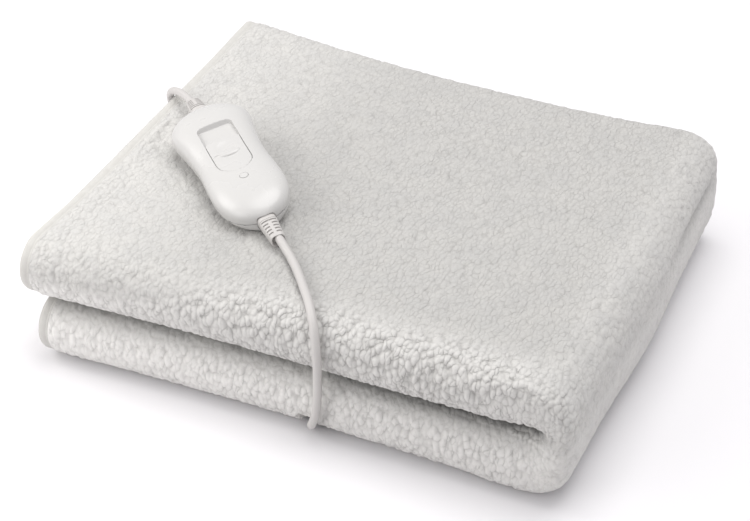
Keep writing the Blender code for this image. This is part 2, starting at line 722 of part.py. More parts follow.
def lead_entry():
    """Moulded block on the hem with an upright sleeve that the lead goes into."""
    hem = uneven((0, ENTRY_Y, 0)).x
    middle = (hem - GAP - ENTRY_SIZE[0] / 2, ENTRY_Y, MIDDLE + layer_height(0))
    block = new_object('lead_entry', rounded_box('lead_entry', ENTRY_SIZE, ENTRY_EDGE), rubber, parcel)
    block.location = middle
    low = middle[2]
    sleeve_mesh = cone('entry_sleeve', *SLEEVE_RADII, SLEEVE_TOP - low, SLEEVE_STEPS)
    sleeve = cutter_object('entry_sleeve', sleeve_mesh, parcel)
    sleeve.location = (LEAD_X, ENTRY_Y, (SLEEVE_TOP + low) / 2)
    boolean(block, 'UNION', sleeve)


def coil():
    """The wound length as one turned ring."""
    bm = bmesh.new()
    low, high = COIL_LOW, COIL_LOW + COIL_HEIGHT
    profile = []
    for radius, level, out, up in (
        (COIL_OUTER_RADIUS, high, 1, 1), (COIL_OUTER_RADIUS, low, 1, -1),
        (COIL_INNER_RADIUS, low, -1, -1), (COIL_INNER_RADIUS, high, -1, 1),
    ):
        pair = [(radius - out * COIL_CORNER, level), (radius, level - up * COIL_CORNER)]
        profile += pair if out * up > 0 else pair[::-1]
    corners = [bm.verts.new((radius, 0, level)) for radius, level in profile]
    edges = [bm.edges.new((a, b)) for a, b in zip(corners, corners[1:] + corners[:1])]
    bmesh.ops.spin(bm, geom=corners + edges, cent=(0, 0, 0), axis=(0, 0, 1), angle=2 * math.pi,
                   steps=COIL_STEPS, use_merge=True)
    ring = new_object('cord_coil', mesh_from(bm, 'cord_coil'), rubber, parcel)
    ring.location = (*COIL_CENTRE, 0)


def tie(name, angle):
    """Flat band round the coil's turns."""
    middle = (COIL_OUTER_RADIUS + COIL_INNER_RADIUS) / 2
    half = (COIL_OUTER_RADIUS - COIL_INNER_RADIUS) / 2 + GAP
    low, high = COIL_LOW - GAP, COIL_LOW + COIL_HEIGHT + GAP
    rings = []
    for grow in (0, TIE_WALL):
        reach, bottom, top = half + grow, low - grow, high + grow
        inside = reach - TIE_CORNER
        loop = [(inside, bottom), (reach, bottom + TIE_CORNER), (reach, top - TIE_CORNER), (inside, top)]
        rings.append(loop + [(-x, z) for x, z in reversed(loop)])
    bm = bmesh.new()
    sides = []
    for y in (-TIE_WIDTH / 2, TIE_WIDTH / 2):
        sides.append([[bm.verts.new((middle + x, y, z)) for x, z in ring] for ring in rings])
    count = len(rings[0])
    for i in range(count):
        j = (i + 1) % count
        for side in sides:
            bm.faces.new((side[0][i], side[0][j], side[1][j], side[1][i]))
        for wall in range(2):
            bm.faces.new((sides[0][wall][i], sides[0][wall][j], sides[1][wall][j], sides[1][wall][i]))
    band = new_object(name, mesh_from(bm, name), tie_plastic, parcel)
    band.location = (*COIL_CENTRE, 0)
    band.rotation_euler = (0, 0, angle)


def plug():
    form = [(place, wide, high, 0.0) for place, wide, high in PLUG_FORM]
    mesh = relief_mesh('plug_body', form, PLUG_RING, PLUG_SQUARENESS)
    body = new_object('plug_body', mesh, rubber, parcel)
    body.location = PLUG_PLACE
    body.rotation_euler = (0, 0, math.pi)
    face = PLUG_FORM[-1][0] + GAP
    for name, side in (('plug_pin_left', -1), ('plug_pin_right', 1)):
        pin = new_object(name, cone(name, PIN_RADIUS, PIN_RADIUS, PIN_LENGTH, PIN_STEPS), nickel, body)
        pin.location = (face + PIN_LENGTH / 2, side * PIN_SPACING / 2, 0)
        pin.rotation_euler = (0, math.pi / 2, 0)
        tip = pin.modifiers.new('Rounded tip', 'BEVEL')
        tip.width = PIN_EDGE
        tip.segments = 1


# ---- build ----

for thing in list(bpy.data.objects):
    bpy.data.objects.remove(thing, do_unlink=True)

part_collection = bpy.data.collections.new('electric heated blanket')
cutter_collection = bpy.data.collections.new('cutters')
for group in (part_collection, cutter_collection):
    bpy.context.scene.collection.children.link(group)

fleece = principled('fleece', (0.80, 0.79, 0.76), 0.95)
tape = principled('binding tape', (0.80, 0.78, 0.73), 0.85)
shell = principled('gloss white plastic', (0.86, 0.86, 0.85), 0.25)
rubber = principled('pale grey flex', (0.68, 0.65, 0.63), 0.50)
clear = principled('lamp lens', (0.82, 0.80, 0.76), 0.20)
tie_plastic = principled('tie', (0.75, 0.75, 0.74), 0.50)
nickel = principled('nickel pins', (0.72, 0.70, 0.66), 0.30, 1.0)

parcel = new_object('parcel', None, None)
parcel.location = (*PARCEL_CORNER, 0)
holder = new_object('controller', None, None, parcel)
holder.location = CONTROLLER_PLACE
holder.rotation_euler = (CONTROLLER_ROLL, 0, CONTROLLER_HEADING)

blanket_cloth()
hem_binding('binding_hem_lower', LOWER_HEM_INSET, -math.pi / 2)
hem_binding('binding_hem_upper', 0.0, math.pi / 2)
edge_binding('binding_edge_inner', INNER_EDGE_Y, 1)
edge_binding('binding_edge_outer', OUTER_EDGE_Y, 0)
controller()
reliefs()
lead_entry()
flex('lead_cord', pulled_back(LEAD_ROUTE, FLEX_END_GAP, GAP))
flex('mains_cord', pulled_back(MAINS_ROUTE, FLEX_END_GAP, 0.0))
flex('plug_cord', pulled_back(TAIL_ROUTE, 0.0, FLEX_END_GAP))
coil()
for name, angle in TIE_ANGLES.items():
    tie(name, math.radians(angle))
plug()
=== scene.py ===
import math

import bmesh
import bpy
from mathutils import Matrix, Vector


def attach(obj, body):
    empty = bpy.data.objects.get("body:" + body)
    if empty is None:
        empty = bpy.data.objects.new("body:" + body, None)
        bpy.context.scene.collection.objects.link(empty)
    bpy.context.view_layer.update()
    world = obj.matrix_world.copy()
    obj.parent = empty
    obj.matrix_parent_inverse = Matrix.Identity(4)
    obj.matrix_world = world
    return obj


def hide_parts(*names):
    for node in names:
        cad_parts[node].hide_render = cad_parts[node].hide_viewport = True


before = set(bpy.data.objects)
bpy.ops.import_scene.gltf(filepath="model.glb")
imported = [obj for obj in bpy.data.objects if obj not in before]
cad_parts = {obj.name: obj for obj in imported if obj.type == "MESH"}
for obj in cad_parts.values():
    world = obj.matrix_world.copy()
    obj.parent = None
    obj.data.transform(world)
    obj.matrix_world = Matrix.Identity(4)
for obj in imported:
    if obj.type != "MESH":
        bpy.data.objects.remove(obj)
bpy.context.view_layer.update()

# Everything below is in metres. "Parcel" places count from the upper half's front left corner.
parcel = {
    "corner": Vector((-0.197266, -0.177821, 0)),
    "length": 0.400,
    "depth": 0.362,
    "height": 0.094,
}


def inWorld(point):
    return Vector(point) + parcel["corner"]


# small tools

def smoothStep(value):
    value = min(1.0, max(0.0, value))
    return value * value * (3 - 2 * value)


def rise(value, start, over):
    # 0 before the start, 1 after it and the length over which it rises
    return smoothStep((value - start) / over)


def signedPower(value, power):
    return math.copysign(abs(value) ** power, value)


def curveThrough(points, share):
    # smooth curve through points of any dimension, read at a share from 0 to 1
    last = len(points) - 1
    place = min(max(share, 0.0), 1.0) * last
    start = min(int(place), last - 1)
    t = place - start
    before, a, b, after = (points[min(max(start + step, 0), last)] for step in (-1, 0, 1, 2))
    return tuple(
        0.5 * (2 * q + (r - p) * t + (2 * p - 5 * q + 4 * r - s) * t * t
               + (3 * q - p - 3 * r + s) * t ** 3)
        for p, q, r, s in zip(before, a, b, after)
    )


def evenly(points, spacing):
    # the same line with points an even step apart
    length = sum((b - a).length for a, b in zip(points, points[1:]))
    steps = max(2, round(length / spacing))
    result, walked = [points[0]], 0.0
    for a, b in zip(points, points[1:]):
        step = (b - a).length
        while step > 0 and walked + step >= length / steps * len(result) and len(result) < steps:
            wanted = length / steps * len(result) - walked
            result.append(a.lerp(b, wanted / step))
        walked += step
    return result + [points[-1]]


def clearSelection():
    for thing in bpy.context.selected_objects:
        thing.select_set(False)


def useOnly(piece):
    clearSelection()
    piece.select_set(True)
    bpy.context.view_layer.objects.active = piece


def applyModifiers(piece):
    useOnly(piece)
    for modifier in list(piece.modifiers):
        bpy.ops.object.modifier_apply(modifier=modifier.name)


def applyPlace(piece):
    useOnly(piece)
    bpy.ops.object.transform_apply(location=True, rotation=True, scale=True)


def shadeSmooth(piece, angle=35):
    useOnly(piece)
    bpy.ops.object.shade_smooth_by_angle(angle=math.radians(angle))


def dress(piece, material, body, slot, *nodes):
    # material, body, slot, which is not used, and the CAD nodes that the piece stands for
    piece.data.materials.clear()
    piece.data.materials.append(material)
    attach(piece, body)
    if nodes:
        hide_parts(*nodes)
    return piece


def addObject(name, data):
    piece = bpy.data.objects.new(name, data)
    bpy.context.scene.collection.objects.link(piece)
    return piece


def newMesh(name, verts, faces):
    mesh = bpy.data.meshes.new(name)
    mesh.from_pydata([tuple(v) for v in verts], [], faces)
    mesh.update()
    return addObject(name, mesh)


def takeNew(name):
    # the primitive that was just added
    piece = bpy.context.object
    piece.name = piece.data.name = name
    return piece


def editAll(piece, *steps):
    # edit mode, with the whole mesh selected before each step
    useOnly(piece)
    bpy.ops.object.mode_set(mode="EDIT")
    for step in steps:
        bpy.ops.mesh.select_all(action="SELECT")
        step()
    bpy.ops.object.mode_set(mode="OBJECT")


def turnOutwards():
    bpy.ops.mesh.normals_make_consistent(inside=False)


def extrudedTube(name, sides, rings, place):
    # a disc extruded ring by ring; place(ring, angle) then gives each point's real place
    clearSelection()
    bpy.ops.mesh.primitive_circle_add(vertices=sides, radius=1, fill_type="NGON")
    piece = takeNew(name)

    def extrudeRings():
        for _ in range(rings - 1):
            bpy.ops.mesh.extrude_region_move(TRANSFORM_OT_translate={"value": (0, 0, 1)})

    editAll(piece, extrudeRings)
    for vertex in piece.data.vertices:
        x, y, z = vertex.co
        vertex.co = place(round(z), math.atan2(y, x))
    editAll(piece, turnOutwards)
    return piece


# camera, floor and light

view = {
    "target": Vector((-0.024266, 0.028179, 0)),
    "distance": 1.504,
    "azimuth": math.radians(24.0),
    "elevation": math.radians(34.9),
    "lens": 96,
    "sensor": 36,
    "clipStart": 0.05,
}
studio = {
    "floorSize": 12,
    "floorDrop": 0.0002,      # the floor stays just clear of the underside
    "floorColour": (0.83, 0.82, 0.835),
    "floorRoughness": 0.9,
    "worldColour": (0.985, 0.975, 1.0),
    "world": 0.64,
    "keyLight": {"place": (-0.80, -0.25, 0.60), "size": 0.6, "power": 3.2,
                 "colour": (1.0, 0.985, 0.96)},
    "frontLight": {"place": (-0.60, -1.00, 0.55), "size": 0.9, "power": 3.6,
                   "colour": (1.0, 0.99, 0.97)},
    "topLight": {"place": (0.14, 0.22, 1.48), "size": 1.3, "power": 15.5,
                 "colour": (1.0, 0.995, 0.985)},
}


def makeCamera():
    azimuth, elevation = view["azimuth"], view["elevation"]
    back = Vector((
        math.sin(azimuth) * math.cos(elevation),
        -math.cos(azimuth) * math.cos(elevation),
        math.sin(elevation),
    ))
    data = bpy.data.cameras.new("photoCamera")
    data.lens = view["lens"]
    data.sensor_width = view["sensor"]
    data.clip_start = view["clipStart"]
    camera = addObject("photoCamera", data)
    camera.location = view["target"] + back * view["distance"]
    camera.rotation_euler = (math.pi / 2 - elevation, 0, azimuth)
    bpy.context.scene.camera = camera


def makeLight(name, values):
    data = bpy.data.lights.new(name, "AREA")
    data.shape = "DISK"
    data.size = values["size"]
    data.energy = values["power"]
    data.color = values["colour"]
    light = addObject(name, data)
    light.location = values["place"]
    light.rotation_mode = "QUATERNION"
    light.rotation_quaternion = (-Vector(values["place"])).to_track_quat("-Z", "Y")


def makeStudio():
    clearSelection()
    bpy.ops.mesh.primitive_plane_add(size=studio["floorSize"], location=(0, 0, -studio["floorDrop"]))
    floor = bpy.context.object
    floor.name = "studioFloor"
    paint = bpy.data.materials.new("studioFloor")
    paint.use_nodes = True
    shader = paint.node_tree.nodes["Principled BSDF"]
    shader.inputs["Base Color"].default_value = (*studio["floorColour"], 1)
    shader.inputs["Roughness"].default_value = studio["floorRoughness"]
    shader.inputs["Specular IOR Level"].default_value = 0.0
    floor.data.materials.append(paint)
    world = bpy.data.worlds.new("studioWorld")
    world.use_nodes = True
    background = world.node_tree.nodes["Background"]
    background.inputs["Color"].default_value = (*studio["worldColour"], 1)
    background.inputs["Strength"].default_value = studio["world"]
    bpy.context.scene.world = world
    bpy.context.scene.view_settings.view_transform = "Standard"
    for name in ("keyLight", "frontLight", "topLight"):
        makeLight(name, studio[name])


makeCamera()
makeStudio()
print("camera, floor and lights are set")


# finishes

def startMaterial(name, colour, roughness, metallic=0.0):
    material = bpy.data.materials.new(name)
    material.use_nodes = True
    shader = material.node_tree.nodes["Principled BSDF"]
    shader.inputs["Base Color"].default_value = (*colour, 1)
    shader.inputs["Roughness"].default_value = roughness
    shader.inputs["Metallic"].default_value = metallic
    return material, material.node_tree, shader


def node(tree, kind, inputs=(), **settings):
    made = tree.nodes.new(kind)
    for name, value in settings.items():
        setattr(made, name, value)
    for key, value in dict(inputs).items():
        socket = made.inputs[key]
        if isinstance(value, bpy.types.NodeSocket):
            tree.links.new(value, socket)
        else:
            socket.default_value = value
    return made


def math2(tree, operation, a, b=0.0, clamp=False):
    return node(tree, "ShaderNodeMath", {0: a, 1: b}, operation=operation, use_clamp=clamp).outputs[0]


def scaleAdd(tree, value, scale, offset):
    return node(tree, "ShaderNodeMath", {0: value, 1: scale, 2: offset},
                operation="MULTIPLY_ADD").outputs[0]


def vectorMath(tree, operation, a, b, c=(0.0, 0.0, 0.0)):
    return node(tree, "ShaderNodeVectorMath", {0: a, 1: b, 2: c}, operation=operation).outputs


def scaledVector(tree, vector, factor):
    return node(tree, "ShaderNodeVectorMath", {0: vector, "Scale": factor},
                operation="SCALE").outputs[0]


def ranged(tree, value, low, high, newLow=0.0, newHigh=1.0):
    return node(tree, "ShaderNodeMapRange",
                {"Value": value, "From Min": low, "From Max": high,
                 "To Min": newLow, "To Max": newHigh},
                interpolation_type="SMOOTHSTEP").outputs["Result"]


def cloudAt(tree, place, scale, detail, output="Fac", **values):
    return node(tree, "ShaderNodeTexNoise",
                {"Vector": place, "Scale": scale, "Detail": detail, **values}).outputs[output]


def attributeOf(tree, name, output="Fac"):
    return node(tree, "ShaderNodeAttribute", attribute_name=name).outputs[output]


def mixNumber(tree, share, a, b):
    return node(tree, "ShaderNodeMix", {0: share, 2: a, 3: b}, data_type="FLOAT").outputs[0]


def mixColour(tree, share, a, b):
    made = node(tree, "ShaderNodeMix", {0: share}, data_type="RGBA")
    for index, value in ((6, a), (7, b)):
        if isinstance(value, bpy.types.NodeSocket):
            tree.links.new(value, made.inputs[index])
        else:
            made.inputs[index].default_value = (*value, 1)
    return made.outputs[2]


def finishShader(tree, shader, colour, height, strength, depth, **values):
    # colour, bump and, on the shader's own sockets, what is even all over
    tree.links.new(colour, shader.inputs["Base Color"])
    bump = node(tree, "ShaderNodeBump", {"Height": height, "Strength": strength, "Distance": depth})
    tree.links.new(bump.outputs["Normal"], shader.inputs["Normal"])
    for name, value in values.items():
        shader.inputs[sockets[name]].default_value = value


sockets = {"gloss": "Specular IOR Level", "sheen": "Sheen Weight",
           "sheenRoughness": "Sheen Roughness", "sheenTint": "Sheen Tint"}
pile = {
    "fineCell": (0.0030, 0.0052, 0.0042),   # clump size along X, Y and Z, calm and bold
    "boldCell": (0.0034, 0.0050, 0.0064),
    "fineSeed": 3.1,
    "boldSeed": 11.7,
    "scatter": 0.9,
    "warp": 0.0011,                 # how far clumps are pushed out of shape, coarse and fine
    "warpShare": 0.4,
    "fray": 0.00025,
    "frayScale": 800.0,
    "wayScale": (0.7, 0.5, 0.5),    # each clump's own way to lean, mostly down and to the right
    "wayFrom": (-0.15, -0.55, -0.75),
    "lean": 0.42,
    "dome": 0.85,
    "crown": 0.78,
    "own": 0.12,                    # how far clumps differ in height
    "parted": 0.26,                 # depth of the clefts between clumps, of the relief
    "cleftWidth": 0.22,
    # width of the thin painted shade in the clefts
    "creaseWidth": 0.12,
    "closedScale": 0.8,             # here and there the clefts close
    "closed": (0.40, 0.58, 0.25, 1.0),
    "under": (-0.05, 0.20),         # lean at which the painted shade on a clump's lower side begins and is full
    "calm": (0.490, 0.482, 0.464),
    "patch": (0.955, 0.958, 0.965),
    "patchScale": 45.0,
    # the bold pile on the front folds is painted lighter than the calm pile: painted light
    "light": (0.615, 0.605, 0.586),
    # painted shade colour, and below it the heights over which low spots take that painted shade
    "shade": (0.405, 0.397, 0.380),
    "lowShade": (0.20, 0.75, 0.40, 0.0),
    "relief": 0.0022,               # depth of the mesh relief, at the front folds and elsewhere
    "calmRelief": 0.0014,
    "reliefLevel": 0.72,
    "bump": 0.0011,
    "fuzz": 0.52,
    "fuzzScale": 620.0,
}
tapeCloth = {
    "colour": (0.55, 0.54, 0.51),
    "dark": (0.520, 0.508, 0.482),
    "light": (0.552, 0.543, 0.517),
    "ribs": (260.0, 0.6),           # scale and distortion of the weave's two ways
    "rows": (330.0, 0.4),
    "weave": 0.25,
    "puckerScale": 170.0,
    "bump": 0.0005,
}
plastic = {
    "cloudScale": 35.0,
    "rougher": (0.9, 1.15),         # least and most, of the roughness given
    "strength": 0.6,
}
pins = {"colour": (0.72, 0.70, 0.66), "grainScale": 900.0, "roughness": (0.22, 0.38)}


def pushedAbout(tree, place, scale, amount):
    # places moved about by smooth noise
    cloud = cloudAt(tree, place, scale, 1.0, "Color")
    centred = vectorMath(tree, "SUBTRACT", cloud, (0.5, 0.5, 0.5))[0]
    return vectorMath(tree, "ADD", place, scaledVector(tree, centred, 4 * amount))[0]


def clumps(tree, place, cell, seed):
    # clumps of pile hanging over each other: each is domed, and higher towards its lower right side;
    # also the mask of painted shade in the thin clefts on each clump's lower side
    warped = pushedAbout(tree, place, pile["warpShare"] / cell[0], pile["warp"])
    frayed = pushedAbout(tree, warped, pile["frayScale"], pile["fray"])
    spot = vectorMath(tree, "MULTIPLY_ADD", frayed, [1 / size for size in cell],
                      (seed, seed * 0.7, 0.0))[0]

    def cells(feature):
        return node(tree, "ShaderNodeTexVoronoi",
                    {"Vector": spot, "Scale": 1.0, "Randomness": pile["scatter"]},
                    voronoi_dimensions="3D", feature=feature).outputs

    clump, edge = cells("F1"), cells("DISTANCE_TO_EDGE")["Distance"]
    away = vectorMath(tree, "SUBTRACT", spot, clump["Position"])[0]
    way = vectorMath(tree, "MULTIPLY_ADD", clump["Color"], pile["wayScale"], pile["wayFrom"])[0]
    lean = vectorMath(tree, "DOT_PRODUCT", away, way)["Value"]
    split = ranged(tree, cloudAt(tree, spot, pile["closedScale"], 1.0), *pile["closed"])
    cleft = math2(tree, "MULTIPLY", ranged(tree, edge, 0.0, pile["cleftWidth"], -1.0, 0.0), split)
    reach = clump["Distance"]
    dome = scaleAdd(tree, math2(tree, "MULTIPLY", reach, reach), -pile["dome"], pile["crown"])
    own = node(tree, "ShaderNodeSeparateXYZ", {0: clump["Color"]}).outputs[2]
    height = scaleAdd(tree, own, pile["own"], dome)
    height = scaleAdd(tree, lean, pile["lean"], height)
    height = scaleAdd(tree, cleft, pile["parted"], height)
    below = ranged(tree, lean, *pile["under"])
    # painted shade: thin dark lines in the clefts on each clump's lower side
    thin = math2(tree, "MULTIPLY", ranged(tree, edge, 0.0, pile["creaseWidth"], 1.0, 0.0), split)
    return height, math2(tree, "MULTIPLY", thin, below)


def pileHeight(tree, place, bold):
    fine, fineCrease = clumps(tree, place, pile["fineCell"], pile["fineSeed"])
    large, largeCrease = clumps(tree, place, pile["boldCell"], pile["boldSeed"])
    return mixNumber(tree, bold, fine, large), mixNumber(tree, bold, fineCrease, largeCrease)


def makeFleece():
    material, tree, shader = startMaterial("sherpaFleece", pile["calm"], 0.95)
    place = attributeOf(tree, "pilePlace", "Vector")
    # the third attribute is the pile's painted light and shade
    bold, nap, paintedLightAndShade = (attributeOf(tree, name) for name in ("pileBold", "pileNap", "pilePaintedLightAndShade"))
    height, crease = pileHeight(tree, place, bold)
    fuzz = cloudAt(tree, place, pile["fuzzScale"], 5.0, Roughness=0.72)
    whole = scaleAdd(tree, fuzz, pile["fuzz"], math2(tree, "MULTIPLY", height, nap))
    patches = ranged(tree, cloudAt(tree, place, pile["patchScale"], 3.0), 0.35, 0.65)
    calm = mixColour(tree, patches, pile["calm"],
                     tuple(c * k for c, k in zip(pile["calm"], pile["patch"])))
    # the bold pile's lighter colour is painted light, then scaled by the painted light and shade
    paintedLitColour = scaledVector(tree, mixColour(tree, bold, calm, pile["light"]), paintedLightAndShade)
    # painted shade in the low spots between clumps and in the clefts, as strong as the nap
    low = ranged(tree, height, *pile["lowShade"])
    shadeShare = math2(tree, "MULTIPLY", math2(tree, "ADD", crease, low, clamp=True), nap, clamp=True)
    finishShader(tree, shader, mixColour(tree, shadeShare, paintedLitColour, pile["shade"]), whole, 1.0,
                 pile["bump"], gloss=0.15, sheen=0.3, sheenRoughness=0.5, sheenTint=(1, 0.99, 0.97, 1))
    return material


def makeTapeFabric():
    material, tree, shader = startMaterial("bindingTape", tapeCloth["colour"], 0.8)
    place = attributeOf(tree, "pilePlace", "Vector")
    ribs, rows = (
        node(tree, "ShaderNodeTexWave",
             {"Vector": place, "Scale": scale, "Distortion": distortion, "Detail": 1.0},
             bands_direction=way).outputs["Fac"]
        for way, (scale, distortion) in (("X", tapeCloth["ribs"]), ("Y", tapeCloth["rows"])))
    pucker = cloudAt(tree, place, tapeCloth["puckerScale"], 2.0)
    height = scaleAdd(tree, math2(tree, "MULTIPLY", ribs, rows), tapeCloth["weave"], pucker)
    tint = mixColour(tree, ranged(tree, pucker, 0.3, 0.7), tapeCloth["dark"], tapeCloth["light"])
    finishShader(tree, shader, tint, height, 0.8, tapeCloth["bump"], gloss=0.3, sheen=0.2)
    return material


def makePlastic(name, colour, roughness, grain, grainSize, shadeShare=0.96):
    material, tree, shader = startMaterial(name, colour, roughness)
    place = node(tree, "ShaderNodeTexCoord").outputs["Object"]
    cloud = cloudAt(tree, place, plastic["cloudScale"], 3.0)
    fine = cloudAt(tree, place, 1 / grainSize, 2.0)
    tint = mixColour(tree, cloud, colour, tuple(c * shadeShare for c in colour))
    least, most = plastic["rougher"]
    tree.links.new(ranged(tree, cloud, 0.3, 0.7, roughness * least, roughness * most),
                   shader.inputs["Roughness"])
    finishShader(tree, shader, tint, fine, plastic["strength"], grain)
    return material


def makePinMetal():
    material, tree, shader = startMaterial("nickelPins", pins["colour"], 0.3, 1.0)
    place = node(tree, "ShaderNodeTexCoord").outputs["Object"]
    fine = cloudAt(tree, place, pins["grainScale"], 2.0)
    tree.links.new(ranged(tree, fine, 0.3, 0.7, *pins["roughness"]), shader.inputs["Roughness"])
    return material


# name, colour, roughness, grain depth, grain size
fleece = makeFleece()
tapeFabric = makeTapeFabric()
shellPlastic = makePlastic("glossWhiteShell", (0.560, 0.553, 0.540), 0.28, 0.00002, 0.0012)
flexRubber = makePlastic("paleFlex", (0.53, 0.512, 0.496), 0.45, 0.00004, 0.0006, 0.94)
lampMilk = makePlastic("lampLens", (0.565, 0.560, 0.548), 0.30, 0.00002, 0.0010)
tiePlastic = makePlastic("cordTie", (0.78, 0.78, 0.77), 0.5, 0.00003, 0.0008)
pinMetal = makePinMetal()
print("finishes are mixed")


# cords: each route's points lie in the parcel, as in the CAD model

flex = {
    "radius": 0.00303,
    "spacing": 0.0030,
    "samples": 40,             # between two points of a route
    "joinStep": 6,             # coil points between those that a route borrows to run in smoothly
    "inMouth": 0.0024,         # how far the flex goes into a relief's open end
    "leadLength": 0.080,
    "mainsLength": 1.70,
    "lead": (
        (0.0343, 0.1923, 0.1070), (0.0257, 0.1999, 0.1062), (0.0153, 0.2091, 0.1040),
        (0.0062, 0.2166, 0.1010), (-0.0022, 0.2222, 0.0971), (-0.0072, 0.2265, 0.0904),
        (-0.0086, 0.2297, 0.0812), (-0.0086, 0.2300, 0.0720),
    ),
    "mains": (
        (0.1625, 0.0710, 0.1010), (0.1658, 0.0681, 0.1004), (0.1715, 0.0634, 0.0988),
        (0.1785, 0.0569, 0.0978), (0.1887, 0.0451, 0.0977), (0.1994, 0.0314, 0.0977),
        (0.2096, 0.0180, 0.0973), (0.2170, 0.0077, 0.0934), (0.2219, 0.0007, 0.0864),
        (0.2257, -0.0046, 0.0716), (0.2259, -0.0047, 0.0530), (0.2256, -0.0050, 0.0390),
        (0.2246, -0.0054, 0.0270),
        (0.2225, -0.0048, 0.0195), (0.2202, -0.0024, 0.0143), (0.2169, 0.0035, 0.0078),
        (0.2148, 0.0103, 0.0044), (0.2136, 0.0190, 0.0033), (0.2128, 0.0320, 0.0032),
        (0.2122, 0.0900, 0.0032), (0.2115, 0.1700, 0.0032), (0.2108, 0.2500, 0.0032),
        (0.2101, 0.3300, 0.0032), (0.2099, 0.3600, 0.0036), (0.2098, 0.3812, 0.0043),
    ),
    "tail": (
        (0.1282, 0.3912, 0.0100), (0.1229, 0.3850, 0.0095), (0.1154, 0.3806, 0.0084),
        (0.1075, 0.3791, 0.0073), (0.1000, 0.3790, 0.0071),
    ),
}
coil = {
    "centre": (0.1708, 0.4042),
    "outerTurn": 0.0390,
    "innerTurn": 0.0225,
    "lowLayer": 0.00433,
    "highLayer": 0.01057,
    "turnsPerLayer": 2.75,
    "pointsPerTurn": 48,
    "climb": 0.30,        # of a turn, from one layer to the next
}


def coilTurns():
    # in from the outside on the lower layer, up, and out again on top of it
    turns = 2 * coil["turnsPerLayer"]
    steps = round(turns * coil["pointsPerTurn"])
    points = []
    wider, higher = coil["outerTurn"] - coil["innerTurn"], coil["highLayer"] - coil["lowLayer"]
    for i in range(steps + 1):
        turned = turns * i / steps
        fromMiddle = turned - coil["turnsPerLayer"]
        reach = coil["innerTurn"] + wider * abs(fromMiddle) / coil["turnsPerLayer"]
        height = coil["lowLayer"] + higher * smoothStep(fromMiddle / coil["climb"] + 0.5)
        angle = 2 * math.pi * turned
        points.append((
            coil["centre"][0] + reach * math.cos(angle),
            coil["centre"][1] + reach * math.sin(angle),
            height,
        ))
    return points


def smoothRoute(route):
    count = (len(route) - 1) * flex["samples"]
    return [Vector(curveThrough(route, i / count)) for i in range(count + 1)]


def makeCord(name, points):
    data = bpy.data.curves.new(name, "CURVE")
    data.dimensions = "3D"
    data.bevel_depth = flex["radius"]
    data.bevel_resolution = 5
    data.use_fill_caps = True
    spline = data.splines.new("POLY")
    spline.points.add(len(points) - 1)
    for spot, point in zip(spline.points, points):
        spot.co = (*inWorld(point), 1)
    spline.use_smooth = True
    cord = addObject(name, data)
    print(name, "is", round(sum((b - a).length for a, b in zip(points, points[1:])), 4), "m long")
    return cord


def fromMouth(points):
    # the flex starts inside the strain relief's open end
    return [points[0] + (points[0] - points[1]).normalized() * flex["inMouth"]] + points


def makeCords():
    lead = makeCord("leadFlex", fromMouth(evenly(smoothRoute(flex["lead"]), flex["spacing"])))
    turns = coilTurns()
    step, borrowed = flex["joinStep"], 2 * flex["samples"]
    line = smoothRoute(flex["mains"] + tuple(turns[:2 * step + 1:step]))[:-borrowed]
    wound = [Vector(p) for p in turns]
    tail = smoothRoute(tuple(turns[-2 * step - 1::step]) + flex["tail"])[borrowed:]
    mains = makeCord("mainsFlex", fromMouth(evenly(line + wound[1:-1] + tail, flex["spacing"])))
    return lead, mains


leadFlex, mainsFlex = makeCords()
print("cords are laid")


# the folded sheet

blanket = {
    "layer": 0.01095,
    "clearance": 0.0005,
    "hemInset": 0.0096,        # lower hem behind the upper one
    "edgeInsets": (0.0056, 0.0091),
    "spineStart": 0.353,
    "spineReach": (0.023, 0.047),
    "spineSquareness": 0.60,
    "cornerFrom": 0.315,       # the front folds turn squarer from here to the spine
    "cornerLength": 0.040,
    "cornerSquareness": 0.42,
    "lowCorner": 0.35,         # share of that squareness in the lower fold
    # how far the four sides lie from straight, at even steps along each
    "hemLine": ((-0.0015,), (0.0013,), (-0.0010,), (-0.0035,), (-0.0072,)),
    "spineLine": ((-0.0010,), (-0.0009,), (0.0017,), (-0.0018,), (-0.0037,)),
    "frontLine": ((-0.0025,), (0.0003,), (0.0007,), (-0.0022,), (-0.0048,)),
    "backLine": ((0.0,), (-0.0080,), (-0.0145,), (-0.0185,), (-0.0215,), (-0.0205,)),
    "backDip": 0.0060,
    "spineValley": 0.0032,     # depth of the valley along the spine, next to the back folds
    "valleyHeight": 0.060,
    "valleyHalf": 0.0048,
    "valleyRises": ((0.17, 0.09), (0.310, 0.04), (0.365, 0.025)),   # its front, its back, its side
    # how much higher the front crease ends at the spine, in two steps: where each starts, its length
    "creaseLift": (0.0035, 0.0055),
    "creaseRises": ((0.235, 0.15), (0.345, 0.045)),
    "liftFade": (0.05, 0.10),
    "tapeStart": 0.0011,
    "tapeWidth": 0.0086,
    "tapePast": 0.0011,        # how far the tape reaches past the cloth's edge
    "tapeSlack": 0.0008,
    "pinched": 0.0032,
    "lip": 0.0041,             # half thickness where the pile meets the tape's lip
    "swell": 0.0067,
    "step": 0.0014,
    "hemRows": 16,             # rows beside each hem that every column keeps
    "topRows": (4, 2, 2),      # every so many rows: lower half, spine, upper half
    "hiddenRows": (16, 8, 16),
    "innerSpacings": (0.040, 0.004, 0.030, 0.008),   # hidden, back, top and nose
    "outerSpacings": (0.040, 0.0030, 0.0028, 0.0014),
    "fineSpacing": 0.0031,
    "noseReach": 0.0232,
    "flatSize": (0.80, 1.41),
}
quarter = math.pi / 2
flatTurn = 1.57                # a section turned this far lies in the upper or the lower half
